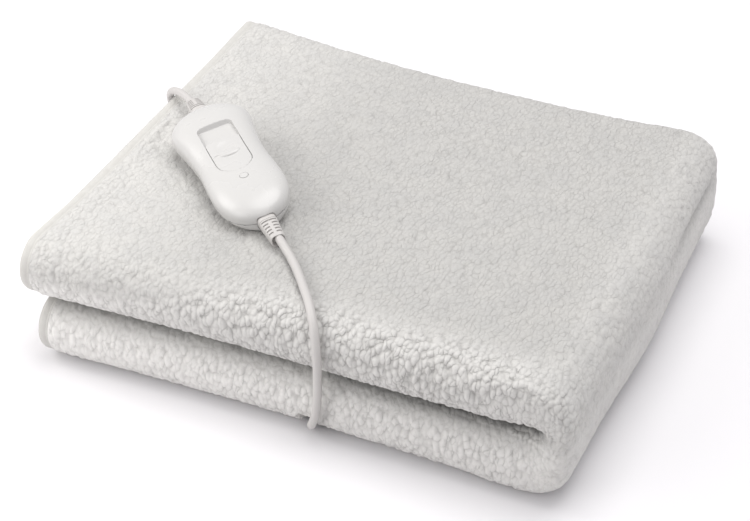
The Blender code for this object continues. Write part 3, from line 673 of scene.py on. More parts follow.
press = {
    "channelX": 0.2130, "channelFlat": 0.0034, "channelEdge": 0.0062, "channelHeight": 0.0070,
    "tuckCentre": (0.0184, 0.0271), "tuckRadius": 0.0195,
    "restHalfWidth": 0.024, "restFade": 0.030, "restLow": -0.0028, "restHigh": 0.0010,
    "restClearance": 0.0010,
}
handset = {
    "place": (0.0430, 0.1840, 0.1065),
    "heading": -0.769,
    "roll": 0.197,
    "length": 0.143,
    "axisHeight": 0.0120,
}

middle = parcel["height"] / 2
pitch = blanket["layer"] + (middle - blanket["clearance"] - 4 * blanket["layer"]) / 3


def layerHeight(layer):
    return blanket["clearance"] + blanket["layer"] / 2 + layer * pitch


noseRadius = (layerHeight(3) - layerHeight(0)) / 2
noseFront = noseRadius + blanket["layer"] / 2
noseHeight = (layerHeight(3) + layerHeight(0)) / 2
turnBack = pitch / 2
backTurn = parcel["depth"] - turnBack - blanket["layer"] / 2
innerEdge, outerEdge = (parcel["depth"] - inset for inset in blanket["edgeInsets"])


def sheetPath(spacings):
    # middle line of the strip's section: four layers and three folds, as (y, height), normal, spacing
    path = []

    def flat(start, end, height, spacing, extra=()):
        heading = math.copysign(1, end - start)
        cuts = max(1, round(abs(end - start) / spacing))
        places = sorted([start + (end - start) * i / cuts for i in range(cuts + 1)] + list(extra),
                        reverse=heading < 0)
        path.extend(((place, height), (0, heading), spacing) for place in places)

    def fold(centre, radius, start, turn, spacing, reach):
        cuts = max(5, round(math.pi * reach / spacing))
        side = -math.copysign(1, turn)
        for i in range(1, cuts):
            angle = math.pi * (start + turn * i / cuts)
            out = (math.cos(angle), math.sin(angle))
            path.append(((centre[0] + radius * out[0], centre[1] + radius * out[1]),
                         (side * out[0], side * out[1]), spacing))

    hidden, back, top, nose = spacings
    pinch = [blanket["tapeWidth"], blanket["tapeWidth"] + blanket["swell"] / 2,
             blanket["tapeWidth"] + blanket["swell"]]
    half = blanket["layer"] / 2
    flat(innerEdge, noseFront, layerHeight(1), hidden, [innerEdge - p for p in pinch])
    fold((noseFront, noseHeight), turnBack, -0.5, -1, hidden, turnBack)
    flat(noseFront, backTurn, layerHeight(2), hidden)
    fold((backTurn, (layerHeight(2) + layerHeight(3)) / 2), turnBack, -0.5, 1, back, turnBack + half)
    flat(backTurn, noseFront, layerHeight(3), top)
    fold((noseFront, noseHeight), noseRadius, 0.5, 1, nose, noseRadius + half)
    flat(noseFront, outerEdge, layerHeight(0), hidden, [outerEdge - p for p in pinch])
    return path


def edgeHalf(distance):
    # half the sheet's thickness at a distance from its bound edge: flat in the tape, then over its lip
    if distance < blanket["tapeWidth"] - 0.0004:
        return blanket["pinched"]
    swell = smoothStep((distance - blanket["tapeWidth"]) / blanket["swell"] * 0.7 + 0.3)
    return blanket["lip"] + (blanket["layer"] / 2 - blanket["lip"]) * swell


def halfThickness(point, layerEnd, hemDistance):
    half = edgeHalf(hemDistance)
    if layerEnd is not None:
        edge = innerEdge if layerEnd == 1 else outerEdge
        half = min(half, edgeHalf(edge + blanket["tapeSlack"] - point[0]))
    return half


def creaseHeight(x):
    return middle + sum(
        lift * rise(x, *place) for lift, place in zip(blanket["creaseLift"], blanket["creaseRises"]))


def spineValley(x, y, z):
    front, back, side = blanket["valleyRises"]
    level = (z - blanket["valleyHeight"]) / blanket["valleyHalf"]
    return rise(y, *front) * (1 - rise(y, *back)) * rise(x, *side) * math.exp(-level ** 2)


def uneven(point):
    # the folds lie off square, off straight and lower at the middle of the back, and the crease climbs
    x, y, z = point
    fade = max(0.0, 1 - abs(z - middle) / middle) ** 2 * (1 - rise(y, *blanket["liftFade"]))
    z += (creaseHeight(x) - middle) * fade
    along, deep = x / parcel["length"], y / parcel["depth"]
    hemSide, spineSide = (curveThrough(blanket[line], deep)[0] for line in ("hemLine", "spineLine"))
    frontSide, backSide = (curveThrough(blanket[line], along)[0] for line in ("frontLine", "backLine"))
    x += hemSide * (1 - along) + spineSide * along
    y += frontSide * (1 - deep) + backSide * deep
    x -= blanket["spineValley"] * spineValley(x, y, z)
    z *= 1 - blanket["backDip"] / parcel["height"] * 4 * along * (1 - along) * deep ** 3
    return Vector((x, y, z))


def squared(y, height, share):
    # the outer half of the front folds' round turn made squarer by a share
    out, up = noseFront - y, height - noseHeight
    if out <= 0 or up <= 0 or share <= 0:
        return y, height
    reach, power = math.hypot(out, up), 1 + (blanket["cornerSquareness"] - 1) * share
    return (noseFront - reach * (out / reach) ** power,
            noseHeight + reach * (up / reach) ** power)


def placed(section, y, height):
    # a point of the folded strip, from its place along the parcel and its turn about the spine
    x, turn = section
    corner = rise(x, blanket["cornerFrom"], blanket["cornerLength"])
    y, height = squared(y, height, corner * (1 if turn > 0 else blanket["lowCorner"]))
    inner, outer = blanket["spineReach"]
    outwards = (height - blanket["clearance"]) / (middle - blanket["clearance"])
    reach = inner + (outer - inner) * outwards
    across = max(0.0, math.cos(turn)) ** blanket["spineSquareness"] * reach
    up = signedPower(math.sin(turn), blanket["spineSquareness"]) * height
    return uneven((x + across, y, middle + up))


def pressedByFlex(point, sectionX):
    # the underside and the lower fold give way round the flex
    away = abs(sectionX - press["channelX"]) - press["channelFlat"]
    share = 1 - smoothStep(away / (press["channelEdge"] - press["channelFlat"]))
    x, y, z = point
    centre = press["tuckCentre"]
    reach = math.hypot(y - centre[0], z - centre[1])
    if y < centre[0] and z < middle / 2 and reach > press["tuckRadius"]:
        pull = press["tuckRadius"] / reach
        return Vector((x, y + (centre[0] + (y - centre[0]) * pull - y) * share,
                       z + (centre[1] + (z - centre[1]) * pull - z) * share))
    if y >= centre[0] and z < press["channelHeight"]:
        return Vector((x, y, z + (press["channelHeight"] - z) * share))
    return point


def handsetAxes():
    heading = Vector((math.cos(handset["heading"]), math.sin(handset["heading"])))
    return heading, Vector((-heading[1], heading[0]))


def pressedByHandset(point):
    # the top gives way under the handset, which lies rolled to one side
    heading, aside = handsetAxes()
    fromEnd = Vector(point[:2]) - Vector(handset["place"][:2])
    along, sideways = fromEnd.dot(heading), fromEnd.dot(aside)
    beyond = math.hypot(max(0.0, -along, along - handset["length"]),
                        max(0.0, abs(sideways) - press["restHalfWidth"]))
    underside = handset["place"][2] - handset["axisHeight"] * math.cos(handset["roll"])
    rest = underside + sideways * math.sin(handset["roll"]) - press["restClearance"] - parcel["height"]
    rest = min(press["restHigh"], max(press["restLow"], rest))
    return point + Vector((0, 0, rest * (1 - smoothStep(beyond / press["restFade"]))))


def sectionsAlong():
    # rows from the lower hem round the spine to the upper hem: (place, turn), distance from its hem
    step, start, edge = (blanket[name] for name in ("step", "tapeStart", "tapeWidth"))
    spine = blanket["spineStart"]

    def flatRows(hemX):
        first = hemX + edge + 0.0012
        cuts = round((spine - first) / step)
        besideTape = [hemX + start, hemX + edge - 0.0006, hemX + edge - 0.0002, hemX + edge + 0.0004]
        return besideTape + [first + (spine - first) * i / cuts for i in range(cuts)]

    lower = [((x, -quarter), x - blanket["hemInset"]) for x in flatRows(blanket["hemInset"])]
    upper = [((x, quarter), x) for x in flatRows(0.0)]
    cuts = round(math.pi * blanket["spineReach"][1] / step)
    turns = [((spine, -quarter + math.pi * i / cuts), spine) for i in range(cuts + 1)]
    return lower, turns, upper[::-1]


def stripPlace(section):
    # distance along the strip from the spine's middle
    x, turn = section
    beyond = math.copysign(blanket["spineStart"] - x, turn) if abs(turn) > flatTurn else 0.0
    return turn * blanket["spineReach"][1] + beyond


def clothColumns():
    # the sheet's two faces as columns across the strip, each with the rows that it takes
    lower, turns, upper = sectionsAlong()
    rows = lower + turns + upper
    hemRows = blanket["hemRows"]
    lowerEnd, upperStart = len(lower), len(lower) + len(turns) - 1

    def rowChoice(lowerStep, spineStep, upperStep):
        chosen = set(range(hemRows + 1)) | set(range(len(rows) - hemRows - 1, len(rows)))
        chosen |= set(range(hemRows, lowerEnd + 1, lowerStep)) | {lowerEnd}
        chosen |= set(range(lowerEnd, upperStart + 1, spineStep)) | {upperStart}
        chosen |= set(range(upperStart, len(rows) - hemRows, upperStep))
        return sorted(chosen)

    everyRow, topRows, hiddenRows = (
        rowChoice(*steps) for steps in ((1, 1, 1), blanket["topRows"], blanket["hiddenRows"]))
    ring = []
    for side, spacings in ((1, "innerSpacings"), (-1, "outerSpacings")):
        path = sheetPath(blanket[spacings])
        firstTurn = next(i for i, (p, _, _) in enumerate(path) if p[1] != path[0][0][1])
        lastTurn = max(i for i, (p, _, _) in enumerate(path) if p[1] != path[-1][0][1])
        noseStart = lastTurn - math.pi * blanket["noseReach"] / blanket["step"] - 1
        columns = []
        for i, (spot, normal, spacing) in enumerate(path):
            end = 1 if i < firstTurn else (0 if i > lastTurn else None)
            fine = side < 0 and spacing <= blanket["fineSpacing"]
            chosen = hiddenRows
            if fine:
                chosen = everyRow if noseStart < i <= lastTurn else topRows
            columns.append((spot, normal, end, side, chosen, fine))
        ring += columns[::side]
    return rows, ring


def makeCloth():
    rows, ring = clothColumns()
    bm = bmesh.new()
    placeLayer = bm.verts.layers.float_vector.new("pilePlace")
    characterLayers = [bm.verts.layers.float.new(name)
                       for name in ("pileBold", "pileNap", "pilePaintedLightAndShade", "pileSeen")]
    grid = []
    for (y, height), normal, end, side, chosen, fine in ring:
        column = {}
        for r in chosen:
            section, hemDistance = rows[r]
            half = halfThickness((y, height), end, hemDistance)
            outerHeight = height + side * normal[1] * half
            point = placed(section, y + side * normal[0] * half, outerHeight)
            if side < 0 and section[1] < -flatTurn:
                point = pressedByFlex(point, section[0])
            elif fine and abs(outerHeight - middle) < 0.00001 and section[1] > flatTurn:
                point = pressedByHandset(point)
            vert = bm.verts.new(point + parcel["corner"])
            vert[placeLayer] = point
            # the pile's character, with its painted light and shade
            bold, nap, paintedLightAndShade, seen = pileCharacter(point, fine)
            seen *= rise(hemDistance, blanket["tapeWidth"] - 0.0006, 0.003)
            for layer, value in zip(characterLayers, (bold, nap, paintedLightAndShade, seen)):
                vert[layer] = value
            column[r] = vert
        grid.append((chosen, column))
    for (rowsA, a), (rowsB, b) in zip(grid, grid[1:] + grid[:1]):
        fewer, other = (rowsA, b) if len(rowsA) <= len(rowsB) else (rowsB, a)
        common = [r for r in fewer if r in other]
        for low, high in zip(common, common[1:]):
            left = [a[r] for r in range(low, high + 1) if r in a]
            right = [b[r] for r in range(low, high + 1) if r in b]
            bm.faces.new(left + right[::-1])
    for r in (0, len(rows) - 1):
        bm.faces.new([column[r] for _, column in grid])
    bmesh.ops.recalc_face_normals(bm, faces=bm.faces)
    mesh = bpy.data.meshes.new("blanketCloth")
    bm.to_mesh(mesh)
    bm.free()
    return addObject("blanketCloth", mesh)


pileLay = {
    # where the clumps are bold and strong, and the light and shade painted on them: a pair is where a
    # change starts and its length
    "along": (0.05, 0.16),
    "frontStart": (-0.004, 0.010),   # at the hems, and how much further back it is beyond them
    "frontLength": 0.037,
    "upperReach": (0.35, 0.65),      # share of its height that they reach on each half
    "lowerReach": 0.72,
    "reachFade": 0.30,
    "spine": (0.360, 0.028),
    # at the spine the clumps grow soft and painted light brightens the spine side
    "spineChange": {"bold": -0.90, "nap": -0.40, "light": 0.20},
    "nap": (0.70, 0.25),
    "lowerNap": -0.40,
    "hemNap": (0.70, 0.30),
    # painted light: the upper half lighter towards its hem, the lower fold lighter towards the left
    "hemLight": (1.20, -0.20),
    "hemLightEnd": (0.01, 0.15),
    "foldLight": (1.25, -0.13),
    "foldLightEnd": (0.0, 0.36),
    # painted shade in the spine's valley
    "valleyShade": 0.22,
    "creaseShade": (0.30, 0.42),     # painted shade in the fold's crease, darkest next to the spine
    "creaseDarker": (0.20, 0.12),
    "creaseEnd": (0.372, 0.020),
    "creaseBack": (0.02, 0.02),
    "creaseHalf": 0.0042,
    "unseen": (0.0, 0.5, 1.0, 0.0),
    "floorFade": (0.0, 0.004),
}


def pileCharacter(point, fine):
    # how bold and strong the clumps are and what light and shade is painted on them: bold low on the
    # front folds, soft at the spine and hems
    x, y, z = point
    if not fine:
        return pileLay["unseen"]

    def grown(name, share):
        base, more = pileLay[name]
        return base + more * share

    upper = rise(z, middle - 0.001, 0.002)
    along = rise(x, *pileLay["along"])
    front = 1 - rise(y, grown("frontStart", along), pileLay["frontLength"])
    climb = (z - middle) / middle if upper else z / middle
    reach = grown("upperReach", along) if upper else pileLay["lowerReach"]
    low = 1 - rise(climb, reach, pileLay["reachFade"])
    nose = front * (low + (1 - low) * along * upper)
    atSpine = {name: 1 + change * rise(x, *pileLay["spine"])
               for name, change in pileLay["spineChange"].items()}
    bold = nose * atSpine["bold"]
    nap = grown("nap", nose) * atSpine["nap"] * (1 + pileLay["lowerNap"] * (1 - upper))
    nap *= grown("hemNap", along)
    # painted light on the upper half near its hem, on the lower fold towards the left and on the spine
    # side
    hemLight = grown("hemLight", rise(x, *pileLay["hemLightEnd"]))
    foldLight = grown("foldLight", rise(x, *pileLay["foldLightEnd"]))
    paintedLightAndShade = (hemLight * upper + foldLight * (1 - upper)) * atSpine["light"]
    # painted shade in the spine's valley
    paintedLightAndShade *= 1 - pileLay["valleyShade"] * spineValley(x + blanket["spineValley"], y, z) ** 3
    # painted shade along the front folds' crease, darkest next to the spine and fading at its end
    dark = grown("creaseShade", rise(x, *pileLay["creaseDarker"]))
    dark *= 1 - rise(x, *pileLay["creaseEnd"])
    fromCrease = (z - creaseHeight(x)) / pileLay["creaseHalf"]
    paintedLightAndShade *= 1 - dark * (1 - rise(y, *pileLay["creaseBack"])) * math.exp(-fromCrease ** 2)
    return bold, nap, paintedLightAndShade, rise(z, *pileLay["floorFade"])


def raisePile(cloth):
    # the clumps as real relief on the mesh, from the same pattern as the finish
    tree = bpy.data.node_groups.new("pileRelief", "GeometryNodeTree")
    tree.interface.new_socket("Geometry", in_out="INPUT", socket_type="NodeSocketGeometry")
    tree.interface.new_socket("Geometry", in_out="OUTPUT", socket_type="NodeSocketGeometry")
    start, end = tree.nodes.new("NodeGroupInput"), tree.nodes.new("NodeGroupOutput")

    def attribute(name, kind="FLOAT"):
        made = node(tree, "GeometryNodeInputNamedAttribute", {"Name": name}, data_type=kind)
        return made.outputs["Attribute"]

    bold = attribute("pileBold")
    height, _ = pileHeight(tree, attribute("pilePlace", "FLOAT_VECTOR"), bold)
    depth = mixNumber(tree, bold, pile["calmRelief"], pile["relief"])
    raised = math2(tree, "MULTIPLY", math2(tree, "SUBTRACT", height, pile["reliefLevel"]), depth)
    normal = tree.nodes.new("GeometryNodeInputNormal").outputs[0]
    push = scaledVector(tree, normal, math2(tree, "MULTIPLY", raised, attribute("pileSeen")))
    move = node(tree, "GeometryNodeSetPosition", {"Geometry": start.outputs[0], "Offset": push})
    tree.links.new(move.outputs["Geometry"], end.inputs[0])
    cloth.modifiers.new("pileRelief", "NODES").node_group = tree
    applyModifiers(cloth)


cloth = makeCloth()
print("cloth has", len(cloth.data.polygons), "faces")

raisePile(cloth)
shadeSmooth(cloth, 180)
dress(cloth, fleece, "blanket", "fleece", "blanket_cloth")
print("cloth has", len(cloth.data.polygons), "faces and its pile")


# binding tape round every edge of the sheet

binding = {
    "thick": 0.0043,       # half the folded tape's thickness
    "wall": 0.0008,
    "roundFrom": 0.0034,   # its edge is rounded over this far
    "seamAt": 0.0066,      # stitched line, in from the edge
    "seamDip": 0.00035,
    "seamHalf": 0.0004,
    "stitch": 0.0034,
    "pucker": 0.02,
    "spacings": (0.012, 0.003, 0.006, 0.0022),
}


def tapeProfile():
    # U-shaped section as (distance in from the edge, offset from the sheet's middle)
    thick, roundFrom, seam, dip, half = (
        binding[name] for name in ("thick", "roundFrom", "seamAt", "seamDip", "seamHalf"))
    wide = blanket["tapeWidth"]
    outer = [(wide, thick - 0.0003), (wide - 0.0005, thick - 0.00005), (wide - 0.0011, thick),
             (seam + half, thick - dip / 2), (seam, thick - dip), (seam - half, thick - dip / 2),
             (seam - 0.0010, thick)]
    for i in range(7):
        angle = quarter * i / 6
        outer.append((roundFrom * (1 - math.sin(angle)), thick * math.cos(angle) ** 0.8))
    outer[-1] = (0.0, 0.0)
    inner = thick - binding["wall"]
    hollow = [(wide, -inner), (binding["wall"], -inner), (binding["wall"], inner), (wide, inner)]
    return outer + [(q, -o) for q, o in reversed(outer[:-1])] + hollow


def makeTube(name, rings, along, profile):
    # a closed tube through rings of points, with the fabric's own place on each
    count = len(profile)
    verts = [point for ring in rings for point in ring]
    faces = []
    for r in range(len(rings) - 1):
        for i in range(count):
            j = (i + 1) % count
            faces.append((r * count + i, r * count + j, (r + 1) * count + j, (r + 1) * count + i))
    faces.append(tuple(range(count)))
    faces.append(tuple(range((len(rings) - 1) * count, len(rings) * count)))
    piece = newMesh(name, verts, faces)
    place = piece.data.attributes.new("pilePlace", "FLOAT_VECTOR", "POINT")
    around = [0.0]
    for a, b in zip(profile, profile[1:]):
        around.append(around[-1] + math.dist(a, b))
    for r, distance in enumerate(along):
        for i in range(count):
            place.data[r * count + i].vector = (distance, around[i], 0.0)
    editAll(piece, turnOutwards)
    return piece


def hemBinding(name, hemX, turn):
    path = sheetPath(binding["spacings"])
    for i in (0, -1):
        (y, height), normal, spacing = path[i]
        path[i] = ((y + blanket["tapePast"], height), normal, spacing)
    profile = tapeProfile()
    rings, along = [], [0.0]
    for i, ((y, height), (normalY, normalH), _) in enumerate(path):
        if i:
            along.append(along[-1] + math.dist(path[i - 1][0], (y, height)))
        wave = math.sin(along[-1] * 2 * math.pi / (3 * binding["stitch"]))
        pucker = 1 + binding["pucker"] * wave
        rings.append([
            placed((hemX + q, turn), y + normalY * o * pucker, height + normalH * o * pucker)
            + parcel["corner"]
            for q, o in profile
        ])
    return makeTube(name, rings, along, profile)


def edgeBinding(name, edgeY, layer):
    # between the two hem tapes, round the spine
    lower, turns, upper = sectionsAlong()
    clear = blanket["tapeWidth"] + 0.0003
    sections = [(blanket["hemInset"] + clear, -quarter)]
    sections += [section for section, hemDistance in lower[::3] + turns[::2] + upper[::3]
                 if hemDistance > blanket["tapeWidth"] + 0.0015]
    sections.append((clear, quarter))
    profile = tapeProfile()
    outermost, height = edgeY + blanket["tapePast"], layerHeight(layer)
    rings = [[placed(section, outermost - q, height + o) + parcel["corner"] for q, o in profile]
             for section in sections]
    return makeTube(name, rings, [stripPlace(section) for section in sections], profile)


tapes = [
    dress(piece, tapeFabric, "blanket", "binding_tape", cadNode)
    for piece, cadNode in (
        (hemBinding("hemTapeLower", blanket["hemInset"], -quarter), "binding_hem_lower"),
        (hemBinding("hemTapeUpper", 0.0, quarter), "binding_hem_upper"),
        (edgeBinding("edgeTapeInner", innerEdge, 1), "binding_edge_inner"),
        (edgeBinding("edgeTapeOuter", outerEdge, 0), "binding_edge_outer"),
    )
]
for tape in tapes:
    shadeSmooth(tape, 50)
print("binding tape is on")


# handset: lengths from its lead end, heights from its axis

shellForm = {
    "rows": (  # share of the length, half width, height
        (0.00, 0.0241, 0.0280), (0.15, 0.0305, 0.0280), (0.32, 0.0276, 0.0272), (0.50, 0.0254, 0.0243),
        (0.68, 0.0269, 0.0236), (0.85, 0.0290, 0.0237), (1.00, 0.0302, 0.0237),
    ),
    "endSquareness": (6.7, 3.8),
    "endHeight": 0.45,
    "widest": 0.567,           # share of the height at which the shell is widest
    "powers": (0.8, 0.9, 0.6),   # flanks, crown, belly
    "segments": 144,
    "rings": 120,
    "parting": -0.0045,
    "partingGap": 0.00035,
    "rim": 0.00045,
    "rimAngle": 38,            # rims sharper than this are rounded
    "merge": 0.00025,          # points closer than this beside a cut become one
}
recess = {
    "start": 0.0351, "sideEnd": 0.0826, "halfWidth": 0.0132, "corner": 0.0035,
    "pivot": 0.0715, "floor": 0.0098, "tilt": 0.065,   # the floor falls towards the mains end
    "sliderStart": 0.0560, "sliderDrop": 0.0004, "gap": 0.0003, "top": 0.0175,
    "ramp": 0.0040,            # how far the wall at the lead end leans
    "cornerCuts": 8,
    "endCuts": 32,
}
grip = {
    "place": 0.0727, "size": (0.0036, 0.0086, 0.0017), "sink": 0.0007,
    "dish": 0.0145, "dishDepth": 0.0008,
    "notch": (0.0, -0.0098), "notchSize": (0.0014, 0.0024, 0.0011),
}
lamp = {"place": 0.1045, "radius": 0.0028, "bottom": 0.0096, "top": 0.01135, "edge": 0.0003}
relief = {   # form: along, half width, half height, height of its middle
    "mains": {
        "root": 0.1400,
        "form": ((0.0000, 0.0067, 0.0050, -0.0050), (0.0050, 0.0067, 0.0050, -0.0050),
                 (0.0140, 0.0060, 0.0049, -0.0058), (0.0235, 0.0053, 0.0050, -0.0068),
                 (0.0245, 0.0051, 0.0048, -0.0068)),
        "slots": 5, "slotFrom": 0.0072, "slotPitch": 0.0032, "slotWidth": 0.0014,
        "mouth": 0.0030,         # depth of its open end
        "groove": 0.0056,        # only this one has a groove, before its slots
    },
    "lead": {
        "root": 0.0040,
        "form": ((0.0000, 0.0067, 0.0064, 0.0012), (0.0030, 0.0066, 0.0063, 0.0012),
                 (0.0120, 0.0063, 0.0060, 0.0010), (0.0215, 0.0054, 0.0052, 0.0004),
                 (0.0228, 0.0050, 0.0048, 0.0003)),
        "slots": 6, "slotFrom": 0.0072, "slotPitch": 0.0024, "slotWidth": 0.0011,
        "mouth": 0.0098,
    },
    "squareness": 0.68,
    "sides": 72,
    "pocketEnds": {"lead": -0.020, "mains": 0.163},   # the shell's opening reaches well past its end
    "corner": 0.0030,        # of the shell's opening round it
    "neck": 0.93,            # share of the section left in its groove
    "lip": ((0.0008, 1.0), (0.0, 0.95), (0.0, 0.86), (0.0004, 0.80)),   # before the end, share left
    "edge": 0.0002,
    "slotDepth": 0.0018,
    "spine": 0.0012,         # half width of the rib along the middle of the slots
    "rail": 0.80,            # share of the half width where the slots end
    "bore": 0.0034,          # of the open end round the flex
}
handsetPlace = (
    Matrix.Translation(inWorld(handset["place"]))
    @ Matrix.Rotation(handset["heading"], 4, "Z")
    @ Matrix.Rotation(handset["roll"], 4, "X")
)


def tableValue(rows, place):
    # smooth values between the rows of a table whose first column is the place
    last = len(rows) - 1
    row = 0
    while row < last - 1 and place > rows[row + 1][0]:
        row += 1
    inside = (place - rows[row][0]) / (rows[row + 1][0] - rows[row][0])
    return curveThrough([values[1:] for values in rows], (row + min(1.0, max(0.0, inside))) / last)


def shellPoint(share, angle):
    halfWidth, height = tableValue(shellForm["rows"], share)
    square = shellForm["endSquareness"][0 if share < 0.5 else 1]
    fullness = math.sqrt(max(0.0, 1 - abs(2 * share - 1) ** square))
    height *= shellForm["endHeight"] + (1 - shellForm["endHeight"]) * fullness
    flank, crown, belly = shellForm["powers"]
    up, widest = math.sin(angle), shellForm["widest"]
    level = widest + (1 - widest) * up ** crown if up > 0 else widest - widest * abs(up) ** belly
    return Vector((
        share * handset["length"],
        signedPower(math.cos(angle), flank) * halfWidth * fullness,
        level * height - handset["axisHeight"],
    ))


def shellSolid(name, drop=0.0):
    # a sphere whose rings are moved out to the moulding's sections
    clearSelection()
    bpy.ops.mesh.primitive_uv_sphere_add(segments=shellForm["segments"],
                                         ring_count=shellForm["rings"], radius=1)
    piece = takeNew(name)
    for vertex in piece.data.vertices:
        x, y, z = vertex.co
        share = (1 - z) / 2
        spot = shellPoint(share, math.atan2(y, x))
        if math.hypot(x, y) < 0.0001:   # a pole
            height = tableValue(shellForm["rows"], share)[1] * shellForm["endHeight"]
            spot = Vector((share * handset["length"], 0,
                           height * shellForm["widest"] - handset["axisHeight"]))
        vertex.co = spot - Vector((0, 0, drop))
    editAll(piece, turnOutwards)
    return piece


def keepSide(piece, level, above):
    # the shell above or below its parting plane, closed there
    def closeRim():
        bpy.ops.mesh.select_all(action="DESELECT")
        bpy.ops.mesh.select_mode(type="EDGE")
        bpy.ops.mesh.select_non_manifold()
        bpy.ops.mesh.edge_face_add()

    def turnAndFinish():
        turnOutwards()
        bpy.ops.mesh.select_mode(type="VERT")

    editAll(
        piece,
        lambda: bpy.ops.mesh.bisect(
            plane_co=(0, 0, level), plane_no=(0, 0, 1), use_fill=False,
            clear_inner=above, clear_outer=not above, threshold=0.000001),
        lambda: bpy.ops.mesh.remove_doubles(threshold=shellForm["merge"]),
        closeRim,
        turnAndFinish,
    )


def recessPrism(name, start, inset, low, high, ramp=0.0):
    # the outline of the switch's well or slider, square at the lead end and round at the other
    half, corner = recess["halfWidth"] - inset, recess["corner"] - inset
    cornerCuts, endCuts = recess["cornerCuts"], recess["endCuts"]
    outline = []
    for side, first in ((half - corner, 0.5), (corner - half, 1.0)):
        for i in range(cornerCuts + 1):
            angle = math.pi * (first + i / (2 * cornerCuts))
            outline.append((start + inset + corner + corner * math.cos(angle),
                            side + corner * math.sin(angle), low))
    for i in range(endCuts + 1):
        angle = math.pi * (i / endCuts - 0.5)
        outline.append((recess["sideEnd"] + half * math.cos(angle), half * math.sin(angle), low))
    piece = newMesh(name, outline, [tuple(range(len(outline)))])
    up = {"value": (0, 0, high - low)}
    editAll(piece, lambda: bpy.ops.mesh.extrude_region_move(TRANSFORM_OT_translate=up), turnOutwards)
    for vertex in piece.data.vertices:
        if vertex.co.z < (low + high) / 2 and vertex.co.x < start + inset + corner + 0.0001:
            vertex.co.x += ramp
    pivot = Matrix.Translation((recess["pivot"], 0, recess["floor"]))
    piece.data.transform(pivot @ Matrix.Rotation(recess["tilt"], 4, "Y") @ pivot.inverted())
    return piece


def roundRod(name, radius, bottom, top, x):
    clearSelection()
    bpy.ops.mesh.primitive_cylinder_add(vertices=48, radius=radius, depth=top - bottom,
                                        location=(x, 0, (top + bottom) / 2))
    piece = takeNew(name)
    applyPlace(piece)
    return piece


def block(name, low, high, edge):
    clearSelection()
    bpy.ops.mesh.primitive_cube_add(size=1, location=[(a + b) / 2 for a, b in zip(low, high)])
    piece = takeNew(name)
    piece.scale = [b - a for a, b in zip(low, high)]
    applyPlace(piece)
    editAll(piece, lambda: bpy.ops.mesh.bevel(offset=edge, segments=3, affect="EDGES"))
    return piece


def egg(name, centre, size):
    # a flattened sphere, to cut a hollow or add a swelling
    clearSelection()
    bpy.ops.mesh.primitive_uv_sphere_add(segments=48, ring_count=24, radius=1, location=centre,
                                         scale=size)
    piece = takeNew(name)
    applyPlace(piece)
    return piece


def tidyCuts(piece):
    # the slivers that a cut leaves are merged away before its rims are rounded
    editAll(piece, lambda: bpy.ops.mesh.remove_doubles(threshold=shellForm["merge"] / 2),
            lambda: bpy.ops.mesh.dissolve_degenerate(threshold=shellForm["merge"] / 5))


def cut(piece, operation, *cutters):
    for cutter in cutters:
        modifier = piece.modifiers.new(operation.lower(), "BOOLEAN")
        modifier.operation = operation
        modifier.object = cutter
    applyModifiers(piece)


def softenRims(piece, width, segments=2):
    modifier = piece.modifiers.new("rims", "BEVEL")
    modifier.width = width
    modifier.segments = segments
    modifier.limit_method = "ANGLE"
    modifier.angle_limit = math.radians(shellForm["rimAngle"])
    modifier.use_clamp_overlap = False
    modifier.loop_slide = False
    applyModifiers(piece)


def onHandset(piece):
    piece.data.transform(handsetPlace)
    return piece


def reliefPocket(kind):
    # the shell's opening round a strain relief
    _, halfWidth, halfHeight, level = relief[kind]["form"][0]
    gap, root, end = recess["gap"], relief[kind]["root"], relief["pocketEnds"][kind]
    wide, low, high = halfWidth + gap, halfHeight - level + gap, halfHeight + level + gap
    start, stop = (end, root + gap) if end < root else (root - gap, end)
    return block(kind + "Pocket", (start, -wide, -low), (stop, wide, high), relief["corner"])


def makeSlider(skin):
    # cut to the shell's own crown, then dished, with a ridge across and a notch
    slider = recessPrism("switchSlider", recess["sliderStart"] - recess["gap"], recess["gap"],
                         recess["floor"] + recess["gap"], recess["top"])
    cut(slider, "INTERSECT", skin)
    shellHeight = tableValue(shellForm["rows"], grip["place"] / handset["length"])[1]
    surface = shellHeight - handset["axisHeight"] - recess["sliderDrop"]
    reach, depth = grip["dish"], grip["dishDepth"]
    dish = egg("dish", (grip["place"], 0, surface + 4 * depth), (reach, reach, 5 * depth))
    ridge = egg("ridge", (grip["place"], 0, surface - grip["sink"]), grip["size"])
    back, side = grip["notch"]
    notch = egg("notch", (grip["place"] + back, side, surface), grip["notchSize"])
    return slider, (dish, ridge, notch)


